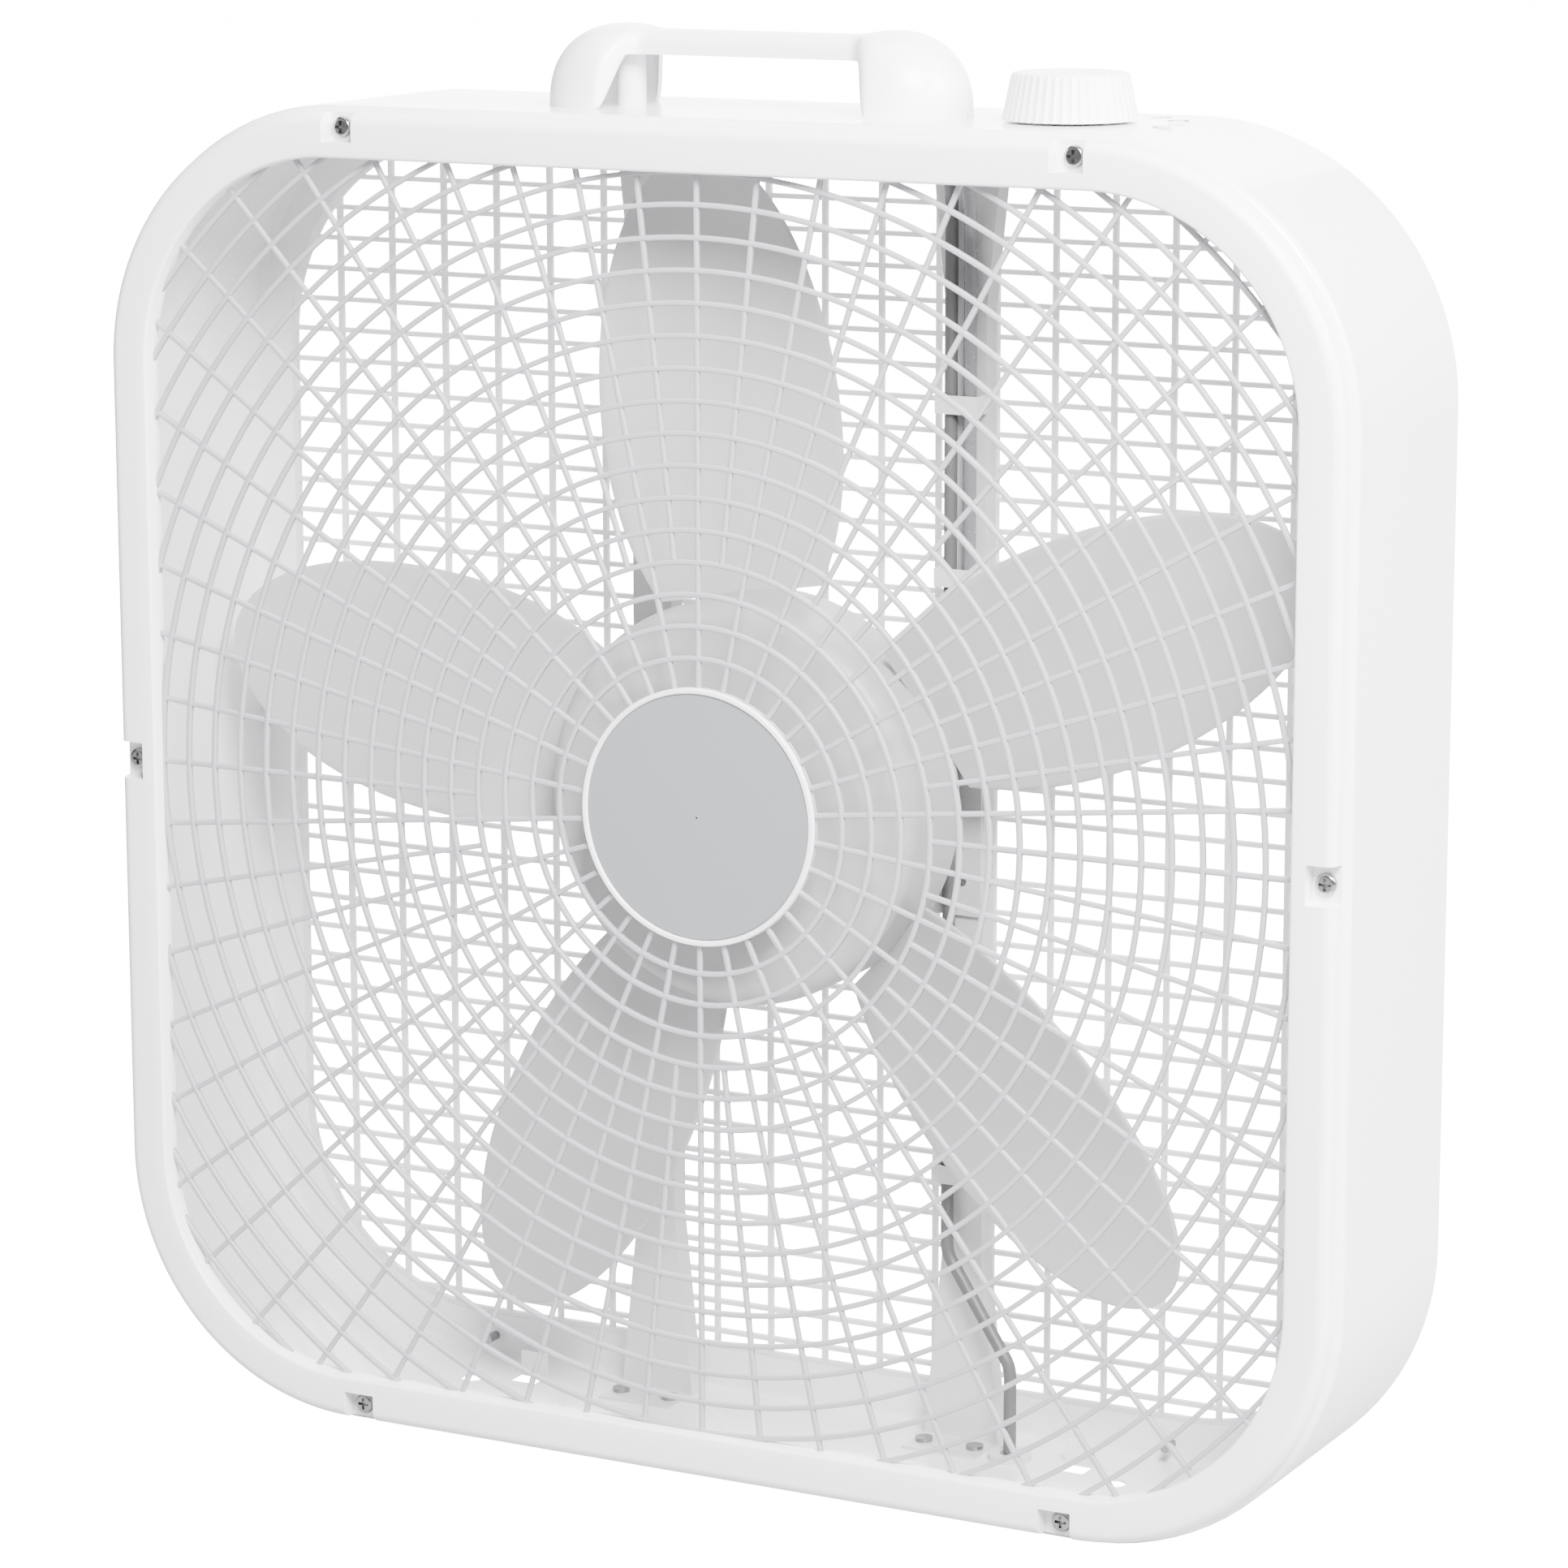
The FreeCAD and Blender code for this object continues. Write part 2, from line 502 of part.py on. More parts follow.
def make_front_grille():
    """Moulded grille: ring and spoke ribs round a centre disc, inside a raised rim with screw pockets."""
    rim_front = band_front - dim["rim_proud"]
    rib_front = rim_front + dim["rib_setback"]
    rib_back = rib_front + dim["rib_depth"]
    half_rib = dim["rib_width"] / 2
    step = 360 / dim["spoke_count"]
    frame = (opening_half_x, opening_half_z, opening_corner)
    limit = flat_frame(*frame, rib_front)
    far_corner = math.hypot(opening_half_x, opening_half_z)
    cells = []
    ring = int(dim["badge_rings"])
    while ring * dim["ring_pitch"] < far_corner:
        inner = ring * dim["ring_pitch"] + half_rib
        outer = (ring + 1) * dim["ring_pitch"] - half_rib
        rays = int(dim["spoke_count"])
        if ring >= dim["full_spoke_rings"]:
            rays *= 2
        for ray in range(rays):
            width = 360 / rays
            first = 90 + ray * width
            cells.extend(fitted_cell(sector(inner, outer, first, first + width, rib_front), limit, frame))
        ring += 1

    half_x = dim["band_width"] / 2 - dim["rim_inset"]
    half_z = dim["band_height"] / 2 - dim["rim_inset"]
    corner = dim["band_corner"] - dim["rim_inset"]
    wall = dim["rim_wall"]
    outline = flat_frame(opening_half_x + wall, opening_half_z + wall, opening_corner + wall, rib_front)
    web = Part.makeFace([outline.OuterWire] + cells, "Part::FaceMakerBullseye")
    web = web.extrude(Vector(0, dim["rib_depth"], 0))

    rim = rounded_slab(half_x, half_z, corner, rim_front, band_front)
    outer_edges = [edge for edge in rim.Edges
                   if edge.BoundBox.YLength < 1e-6 and abs(edge.BoundBox.YMin - rim_front) < 1e-6]
    rim = rim.makeFillet(dim["rim_round"], outer_edges)
    rim = rim.cut(rounded_slab(opening_half_x, opening_half_z, opening_corner, rim_front - 1, band_front + 1))
    groove = rounded_slab(half_x - wall, half_z - wall, corner - wall, rim_front + wall, band_front + 1)
    groove = groove.cut(rounded_slab(opening_half_x + wall, opening_half_z + wall, opening_corner + wall,
                                     rim_front, band_front + 2))
    rim = rim.cut(groove)

    floor_front = band_front - dim["pocket_floor"]
    width, reach = dim["pocket_width"], dim["pocket_depth"]
    boxes, pockets, bores = [], [], []
    for x, z in SCREW_SPOTS:
        turned = abs(z) < 1e-6
        edge = (half_x if turned else half_z) - reach
        outward = math.copysign(1, x if turned else z)

        def slot(side, near, far, front, back):
            low, high = sorted((outward * near, outward * far))
            if turned:
                return Part.makeBox(high - low, back - front, side, Vector(low, front, shaft_z - side / 2))
            return Part.makeBox(side, back - front, high - low, Vector(x - side / 2, front, shaft_z + low))

        boxes.append(slot(width + 2 * wall, edge - wall, edge + reach - 0.2, rim_front + wall / 2, band_front))
        pockets.append(slot(width, edge, edge + reach + 1, rim_front - 1, floor_front))
        shank = dim["screw_shank"] / 2 + dim["bolt_clearance"]
        bores.append(Part.makeCylinder(shank, 2 * dim["rim_proud"],
                                       Vector(x, rim_front - 1, shaft_z + z), Vector(0, 1, 0)))
    keep = rounded_slab(half_x - 0.2, half_z - 0.2, corner, rim_front, band_front)
    rim = rim.fuse([box.common(keep) for box in boxes])
    grille = rim.fuse(web)

    disc_radius = dim["badge_rings"] * dim["ring_pitch"] + half_rib
    seat = Part.makeCylinder(disc_radius, dim["badge_thickness"] + 0.4,
                             Vector(0, rib_front - dim["badge_thickness"] - 0.4, shaft_z), Vector(0, 1, 0))
    recess = Part.makeCylinder(disc_radius - dim["badge_edge"], dim["badge_thickness"] + 0.4,
                               Vector(0, rib_front - dim["badge_thickness"] - 0.4, shaft_z), Vector(0, 1, 0))
    grille = grille.fuse(seat.cut(recess)).cut(pockets + bores)
    return feature(grille.Solids[0], "front_grille")


def make_badge():
    """Plain disc that snaps into the ring at the middle of the front grille."""
    seat = "(badge_rings * ring_pitch + rib_width / 2 - badge_edge)"
    front = f"{BAND_FRONT} - rim_proud + rib_setback - badge_thickness"
    return node(drum(f"2 * {seat}", "badge_thickness", front), "badge")


def make_rear_grille():
    """Flat grille of upright and level bars in a frame that covers the rear flange."""
    half_x = dim["band_width"] / 2 - dim["rear_inset"]
    half_z = dim["band_height"] / 2 - dim["rear_inset"]
    corner = dim["band_corner"] - dim["rear_inset"]
    inner_x, inner_z = half_x - dim["rear_rim"], half_z - dim["rear_rim"]
    frame = (inner_x, inner_z, corner - dim["rear_rim"])
    limit = flat_frame(*frame, band_rear)
    columns = math.ceil(inner_x / dim["upright_pitch"])
    rows = math.ceil(inner_z / dim["crossbar_pitch"])
    cell_x = dim["upright_pitch"] - dim["bar_width"]
    cell_z = dim["crossbar_pitch"] - dim["bar_width"]
    cells = []
    for column in range(-columns, columns):
        for row in range(-rows, rows):
            x = (column + 0.5) * dim["upright_pitch"]
            z = (row + 0.5) * dim["crossbar_pitch"]
            low = Vector(x - cell_x / 2, band_rear, shaft_z + z - cell_z / 2)
            wire = Part.makePlane(cell_x, cell_z, low, Vector(0, -1, 0), Vector(1, 0, 0)).OuterWire
            cells.extend(fitted_cell(wire, limit, frame))
    outline = flat_frame(half_x, half_z, corner, band_rear)
    grille = Part.makeFace([outline.OuterWire] + cells, "Part::FaceMakerBullseye")
    grille = grille.extrude(Vector(0, dim["rear_proud"], 0))
    shank = dim["screw_shank"] / 2 + dim["bolt_clearance"]
    sink = dim["screw_head"] / 2 + dim["bolt_clearance"]
    bores = [Part.makeCylinder(shank, 4 * dim["rear_proud"],
                               Vector(x, band_rear - dim["rear_proud"], shaft_z + z), Vector(0, 1, 0))
             for x, z in SCREW_SPOTS]
    sinks = [Part.makeCylinder(sink, dim["rear_proud"],
                               Vector(x, band_rear + dim["rear_proud"] / 2, shaft_z + z), Vector(0, 1, 0))
             for x, z in SCREW_SPOTS]
    return feature(grille.cut(bores + sinks), "rear_grille")


def cross_screw(x, z, seat, facing, head, head_height, shank, length):
    """A pan-head screw along Y with a cross recess; facing is -1 for a head towards the front."""
    out = Vector(0, facing, 0)
    seat_point = Vector(x, seat, z)
    cap = Part.makeCylinder(head / 2, head_height, seat_point, out)
    crown = [edge for edge in cap.Edges if len(edge.Vertexes) == 1
             and abs(edge.BoundBox.Center.y - (seat + facing * head_height)) < 1e-6]
    cap = cap.makeFillet(head_height * 0.55, crown)
    recess_depth = head_height * 0.6
    floor = seat + facing * (head_height - recess_depth)
    low = min(floor, floor + facing * 2 * recess_depth)
    blade, reach = head * 0.14, head * 0.58
    recess = [Part.makeBox(blade, 2 * recess_depth, reach, Vector(x - blade / 2, low, z - reach / 2)),
              Part.makeBox(reach, 2 * recess_depth, blade, Vector(x - reach / 2, low, z - blade / 2))]
    stem = Part.makeCylinder(shank / 2, length, seat_point, out * -1)
    return cap.fuse(stem).cut(recess).removeSplitter()


def make_grille_screws():
    size = (dim["screw_head"], dim["screw_head_height"], dim["screw_shank"], dim["screw_length"])
    front_seat = band_front - dim["pocket_floor"]
    rear_seat = band_rear + dim["rear_proud"] / 2
    rear_size = (dim["screw_head"], dim["rear_proud"] / 2, dim["screw_shank"], dim["screw_length"])
    front = [cross_screw(x, shaft_z + z, front_seat, -1, *size) for x, z in SCREW_SPOTS]
    rear = [cross_screw(x, shaft_z + z, rear_seat, 1, *rear_size) for x, z in SCREW_SPOTS]
    feature(Part.makeCompound(front), "front_grille_screws")
    feature(Part.makeCompound(rear), "rear_grille_screws")


# ---------------------------------------------------------------- impeller

def blade_sheet():
    """A twisted, cambered strip that runs out from inside the hub, wider than any blade."""
    inner = dim["hub_diameter"] / 2 - dim["hub_wall"]
    outer = dim["impeller_diameter"] / 2 + 4
    half = dim["blade_width"] * 0.62
    wires = []
    for share in (0, 0.25, 0.5, 0.75, 1):
        radius = inner + share * (outer - inner)
        angle = math.radians(dim["pitch_root"] + share * (dim["pitch_tip"] - dim["pitch_root"]))
        across = Vector(math.cos(angle), math.sin(angle), 0)
        proud = Vector(-math.sin(angle), math.cos(angle), 0)
        middle = Vector(0, dim["blade_plane"], radius)
        skins = []
        for lift in (-dim["blade_thickness"] / 2, dim["blade_thickness"] / 2):
            ends = [middle + across * (side * half) + proud * lift for side in (-1, 1)]
            top = middle + proud * (lift + dim["blade_camber"])
            skins.append(Part.Arc(ends[0], top, ends[1]).toShape())
        caps = [Part.LineSegment(skins[0].Vertexes[end].Point, skins[1].Vertexes[end].Point).toShape()
                for end in (0, 1)]
        wires.append(Part.Wire(Part.__sortEdges__([skins[0], caps[1], skins[1], caps[0]])))
    return Part.makeLoft(wires, True, False)


def blade_outline():
    """The petal seen along the axis: one half-ellipse towards the tip and a longer one towards the hub."""
    belly = Vector(0, 0, dim["blade_belly"])
    tip_length = dim["impeller_diameter"] / 2 - dim["blade_belly"]
    root_length = (dim["blade_belly"] - dim["hub_diameter"] / 2) * 1.38
    half = dim["blade_width"] / 2
    halves = []
    for length, sense in ((tip_length, 1), (root_length, -1)):
        curve = Part.Ellipse(belly + Vector(0, 0, sense * length), belly + Vector(half, 0, 0), belly)
        arc = Part.Arc(curve, -math.pi / 2, math.pi / 2)
        halves.append(arc.toShape())
    face = Part.Face(Part.Wire(Part.__sortEdges__(halves)))
    return face.extrude(Vector(0, 2 * dim["band_depth"], 0)).translated(Vector(0, -dim["band_depth"], 0))


def make_impeller():
    """Hub shell with a bored boss, and five petal blades."""
    radius = dim["hub_diameter"] / 2
    wall = dim["hub_wall"]
    front = dim["hub_front"]
    axis = Vector(0, 1, 0)
    shell = Part.makeCylinder(radius, dim["hub_length"], Vector(0, front, 0), axis)
    nose = [edge for edge in shell.Edges if len(edge.Vertexes) == 1 and abs(edge.BoundBox.YMin - front) < 1e-6]
    shell = shell.makeFillet(dim["hub_round"], nose)
    inside = Part.makeCylinder(radius - wall, dim["hub_length"], Vector(0, front + wall, 0), axis)
    nose = [edge for edge in inside.Edges
            if len(edge.Vertexes) == 1 and abs(edge.BoundBox.YMin - front - wall) < 1e-6]
    inside = inside.makeFillet(dim["hub_round"] - wall, nose)
    blade = blade_sheet().common(blade_outline())
    core = Part.makeCylinder(radius - wall / 2, 4 * dim["band_depth"], Vector(0, -2 * dim["band_depth"], 0), axis)
    blade = blade.cut(core)
    blades = [blade.rotated(Vector(), axis, -dim["blade_turn"] - 360 / dim["blade_count"] * number)
              for number in range(int(dim["blade_count"]))]
    boss = Part.makeCylinder(dim["hub_boss"] / 2, wall + dim["hub_boss_length"], Vector(0, front, 0), axis)
    hub = shell.cut(inside).fuse([boss] + blades)
    bore = Part.makeCylinder(dim["shaft_diameter"] / 2, dim["hub_boss_length"], Vector(0, front + wall, 0), axis)
    impeller = hub.cut(bore).removeSplitter()
    return feature(impeller.Solids[0].translated(Vector(0, 0, shaft_z)), "impeller")


def make_shaft_group():
    boss_back = "(hub_front + hub_wall + hub_boss_length)"
    shaft_start = "(hub_front + hub_wall)"
    node(drum("shaft_diameter", f"{MOTOR_BACK} + 0.5 - {shaft_start}", shaft_start), "motor_shaft")
    node(cut(drum("hub_boss + 2 * clip_wall", "clip_width", f"{boss_back} - clip_width - 1"),
             [drum("hub_boss", "2 * clip_width", f"{boss_back} - 1.5 * clip_width - 1"),
              block(("3 * clip_wall", "clip_width * 2", "hub_boss"),
                    ("-1.5 * clip_wall", f"{boss_back} - 2 * clip_width", f"{SHAFT_Z}"))]),
         "hub_spring_clip")
    node(cut(drum("rotor_diameter", "stack_length", "stack_front"),
             [drum("shaft_diameter", "2 * stack_length", "stack_front - stack_length / 2")]), "rotor")
    rings = []
    bearing_back = "(motor_front - 3 + bearing_length)"
    for start in (f"{bearing_back} + 0.3", "stack_front + stack_length + 0.4"):
        rings.append(cut(drum("washer_diameter", "washer_thickness", start),
                         [drum("shaft_diameter", "3 * washer_thickness", f"{start} - washer_thickness")]))
    group(rings, "thrust_washers")


# ---------------------------------------------------------------- motor

def ear_spots():
    for quarter in range(4):
        angle = 45 + 90 * quarter
        yield (f"ear_circle * cos({angle} deg)", f"{SHAFT_Z} + ear_circle * sin({angle} deg)")


def make_motor():
    """Two covers clamp the stator; their ears take the bolts that hold the motor on its plate."""
    split = "(stack_front + stack_length / 2)"
    inside = "motor_diameter - 2 * motor_wall"
    bearing_front = "(motor_front - 3)"
    rear_bearing_front = f"({MOTOR_BACK} - bearing_length + 1.5)"
    hole = "bolt_diameter + 2 * bolt_clearance"

    cover = [drum("motor_diameter", f"{split} - motor_front", "motor_front"),
             drum("bearing_diameter + 2 * motor_wall", "3 + motor_wall", bearing_front)]
    cover += [drum("ear_diameter", "ear_length", f"{split} - ear_length", x, z) for x, z in ear_spots()]
    hollow = [drum(inside, "motor_length", "motor_front + motor_wall")]
    sleeve = [drum("bearing_diameter + 2 * motor_wall", "bearing_length", bearing_front)]
    shell = cut(fuse(cover), hollow)
    bores = [drum("bearing_diameter", "2 * bearing_length", f"{bearing_front} - bearing_length / 2")]
    bores += [drum(hole, "2 * ear_length", f"{split} - 1.5 * ear_length", x, z) for x, z in ear_spots()]
    node(cut(fuse([shell] + sleeve), bores), "motor_front_cover")

    cover = [drum("motor_diameter", f"{MOTOR_BACK} - {split}", split)]
    cover += [drum("ear_diameter", f"{MOTOR_BACK} - {split}", split, x, z) for x, z in ear_spots()]
    shell = cut(fuse(cover), [drum(inside, f"{MOTOR_BACK} - motor_wall - {split} + 5", f"{split} - 5")])
    sleeve = [drum("bearing_diameter + 2 * motor_wall", "bearing_length - 1.5", rear_bearing_front)]
    bores = [drum("bearing_diameter", "2 * bearing_length", f"{rear_bearing_front} - bearing_length / 2")]
    bores += [drum(hole, "2 * motor_length", "motor_front", x, z) for x, z in ear_spots()]
    node(cut(fuse([shell] + sleeve), bores), "motor_rear_cover")

    for label, start in (("front_bearing", bearing_front), ("rear_bearing", rear_bearing_front)):
        node(cut(drum("bearing_diameter", "bearing_length", start),
                 [drum("shaft_diameter + 2 * running_gap", "2 * bearing_length",
                       f"{start} - bearing_length / 2")]), label)

    slots, coils = [], []
    for number in range(int(dim["slot_count"])):
        angle = 360 / dim["slot_count"] * (number + 0.5)
        spot = (f"slot_circle * cos({angle} deg)", f"{SHAFT_Z} + slot_circle * sin({angle} deg)")
        slots.append(drum("slot_diameter", "2 * stack_length", "stack_front - stack_length / 2", *spot))
        coils.append(drum("slot_diameter", "stack_length + 2", "stack_front - 1", *spot))
    bore = drum("stator_bore", "2 * stack_length", "stack_front - stack_length / 2")
    node(cut(drum(inside, "stack_length", "stack_front"), slots + [bore]), "stator_core")
    turns = []
    for start in ("stack_front - end_turn", "stack_front + stack_length"):
        turns.append(cut(drum("2 * slot_circle + slot_diameter + 4", "end_turn", start),
                         [drum("2 * slot_circle - slot_diameter", "3 * end_turn", f"{start} - end_turn")]))
    node(fuse(turns + coils), "stator_windings")

    bolts, nuts = [], []
    head_seat = f"({split} - ear_length)"
    for x, z in ear_spots():
        bolts.append(fuse([drum("bolt_head", "bolt_head_height", f"{head_seat} - bolt_head_height", x, z),
                           drum("bolt_diameter", f"{WEB_FRONT} - {head_seat} + bolt_head_height",
                                head_seat, x, z)]))
        nuts.append(cut(hex_bar("bolt_head * 1.1", "bolt_head_height - 0.6", WEB_FRONT, x, z),
                        [drum("bolt_diameter", "bolt_head_height * 3", f"{WEB_FRONT} - bolt_head_height", x, z)]))
    group(bolts, "motor_bolts")
    group(nuts, "motor_nuts")


def hex_bar(diameter, length, start, x, z, upright=False):
    """A hexagonal bar along +Y, or along +Z where upright."""
    item = doc.addObject("Part::Prism", "hex")
    item.Polygon = 6
    bind(item, "Circumradius", f"({diameter}) / 2")
    bind(item, "Height", length)
    if upright:
        return place(item, x, start, z)
    item.Placement = Placement(Vector(), ALONG_Y)
    return place(item, x, start, z)


# ---------------------------------------------------------------- struts and plate

def flare(width_low, width_high, depth, height, x, y, z, upside_down):
    """A flat block whose width changes from one end to the other."""
    item = doc.addObject("Part::Wedge", "flare")
    for prop, formula in (("Xmin", f"-({width_low}) / 2"), ("Xmax", f"({width_low}) / 2"),
                          ("X2min", f"-({width_high}) / 2"), ("X2max", f"({width_high}) / 2"),
                          ("Ymin", "0"), ("Ymax", height), ("Zmin", "0"), ("Zmax", depth),
                          ("Z2min", "0"), ("Z2max", depth)):
        bind(item, prop, formula)
    turn = Rotation(Vector(1, 0, 0), 90)
    if upside_down:
        turn = Rotation(Vector(1, 0, 0), -90)
    item.Placement = Placement(Vector(), turn)
    return place(item, x, y if upside_down else f"{y} + {depth}", z)


def make_strut(side, label):
    """Channel of sheet steel from floor to roof, open to the rear, with a wide foot at each end."""
    x = f"{side} * strut_side"
    height = f"({ROOF} - band_gauge)"
    gauge = "strut_gauge"

    def channel(width, foot, front, depth, low, tall):
        parts = [block((width, depth, tall), (f"{x} - ({width}) / 2", front, low)),
                 flare(foot, width, depth, "foot_height", x, front, "band_gauge", False),
                 flare(foot, width, depth, "foot_height", x, front, ROOF, True)]
        return parts

    outer = channel("strut_width", "foot_width", WEB_FRONT, "strut_depth", "band_gauge", height)
    inner = channel(f"strut_width - 2 * {gauge}", f"foot_width - 2 * {gauge}", f"({WEB_FRONT} + {gauge})",
                    "strut_depth", "band_gauge", height)
    shell = cut(fuse(outer), inner)
    flanges, holes = [], []
    for low in ("band_gauge", f"{ROOF} - {gauge}"):
        flanges.append(block(("foot_width", f"foot_reach + {gauge}", gauge),
                             (f"{x} - foot_width / 2", f"{WEB_FRONT} - foot_reach", low)))
        for spot in (-1, 1):
            holes.append(post("rivet_diameter", f"3 * {gauge}", f"{x} + {spot} * foot_screw_spacing / 2",
                              f"{WEB_FRONT} - foot_reach / 2", f"{low} - {gauge}"))
    for level in (-1, 1):
        holes.append(drum("bolt_diameter", "3 * strut_depth", f"{WEB_FRONT} - strut_depth", x,
                          f"{SHAFT_Z} + {level} * plate_height * 0.36"))
    return node(cut(fuse([shell] + flanges), holes), label)


def make_strut_fasteners():
    rivets = []
    for side in (-1, 1):
        for spot in (-1, 1):
            x = f"{side} * strut_side + {spot} * foot_screw_spacing / 2"
            y = f"{WEB_FRONT} - foot_reach / 2"
            rivets.append(fuse([post("rivet_diameter", "band_gauge + strut_gauge - 0.1", x, y, "0.1"),
                                post("rivet_head", "rivet_head_height", x, y, "band_gauge + strut_gauge")]))
            rivets.append(fuse([post("rivet_diameter", "strut_gauge", x, y, f"{ROOF} - strut_gauge"),
                                post("rivet_head", "rivet_head_height", x, y,
                                     f"{ROOF} - strut_gauge - rivet_head_height")]))
    group(rivets, "strut_rivets")
    screws = []
    for side in (-1, 1):
        for level in (-1, 1):
            x, z = f"{side} * strut_side", f"{SHAFT_Z} + {level} * plate_height * 0.36"
            screws.append(fuse([drum("bolt_head", "bolt_head_height", f"{WEB_FRONT} + strut_gauge", x, z),
                                drum("bolt_diameter", "plate_gauge + strut_gauge", MOTOR_BACK, x, z)]))
    group(screws, "plate_screws")


def make_motor_plate():
    """Sheet that bridges the two struts and carries the motor."""
    sheet_block = block(("plate_width", "plate_gauge", "plate_height"),
                        ("-plate_width / 2", MOTOR_BACK, f"{SHAFT_Z} - plate_height / 2"))
    holes = [drum("plate_bore", "3 * plate_gauge", f"{MOTOR_BACK} - plate_gauge")]
    strut_spots = [(f"{side} * strut_side", f"{SHAFT_Z} + {level} * plate_height * 0.36")
                   for side in (-1, 1) for level in (-1, 1)]
    for size, spots in (("bolt_diameter + 2 * bolt_clearance", ear_spots()), ("bolt_diameter", strut_spots)):
        holes += [drum(size, "3 * plate_gauge", f"{MOTOR_BACK} - plate_gauge", x, z) for x, z in spots]
    return node(cut(sheet_block, holes), "motor_plate")


# ---------------------------------------------------------------- handle, knob and switch

def dome(shrink, side):
    """Upper half of an egg shape on the wrapper, smaller than the handle's end by the given amount."""
    item = doc.addObject("Part::Ellipsoid", "dome")
    bind(item, "Radius1", f"handle_height - {shrink}")
    bind(item, "Radius2", f"handle_end - {shrink}")
    bind(item, "Radius3", f"handle_depth / 2 - {shrink}")
    item.Angle1 = 0
    return place(item, f"{side} * (handle_length / 2 - handle_end)", "fittings_line", "band_height")


def common(base, tool):
    result = doc.addObject("Part::Common", "common")
    result.Base = base
    result.Tool = tool
    return result


def make_handle():
    """Moulded handle: two hollow ends open towards the middle, a grip between them and two screw posts."""
    pieces = []
    for side in (-1, 1):
        start = "handle_gap / 2" if side > 0 else "-handle_length / 2"
        keep = block(("(handle_length - handle_gap) / 2", "handle_depth", "handle_height"),
                     (start, "fittings_line - handle_depth / 2", "band_height"))
        pieces.append(common(cut(dome("0", side), [dome("handle_wall", side)]), keep))
        column = post("handle_post", "handle_height", f"{side} * post_side", "fittings_line", "band_height")
        pieces.append(common(column, dome("handle_wall / 2", side)))
    overlap = "(handle_end / 2)"
    grip = block((f"handle_gap + 2 * {overlap}", "grip_depth", "grip_thickness"),
                 (f"-handle_gap / 2 - {overlap}", "fittings_line - grip_depth / 2",
                  "band_height + grip_top - grip_thickness"))
    doc.recompute()
    rounded = doc.addObject("Part::Fillet", "grip_rounded")
    rounded.Base = grip
    rounded.Edges = [(number, 3.8, 3.8) for number, edge in enumerate(grip.Shape.Edges, start=1)
                     if edge.BoundBox.XLength > dim["handle_gap"] / 2]
    bores = [post("bolt_diameter - 0.6", "handle_screw_length", f"{side} * post_side", "fittings_line",
                  "band_height") for side in (-1, 1)]
    return node(cut(fuse(pieces + [rounded]), bores), "handle")


def make_handle_screws():
    screws = []
    for side in (-1, 1):
        x = f"{side} * post_side"
        screws.append(fuse([post("handle_screw_head", "bolt_head_height", x, "fittings_line",
                                 f"{ROOF} - bolt_head_height"),
                            post("bolt_diameter - 0.6", "handle_screw_length + band_gauge", x, "fittings_line",
                                 ROOF)]))
    group(screws, "handle_screws")


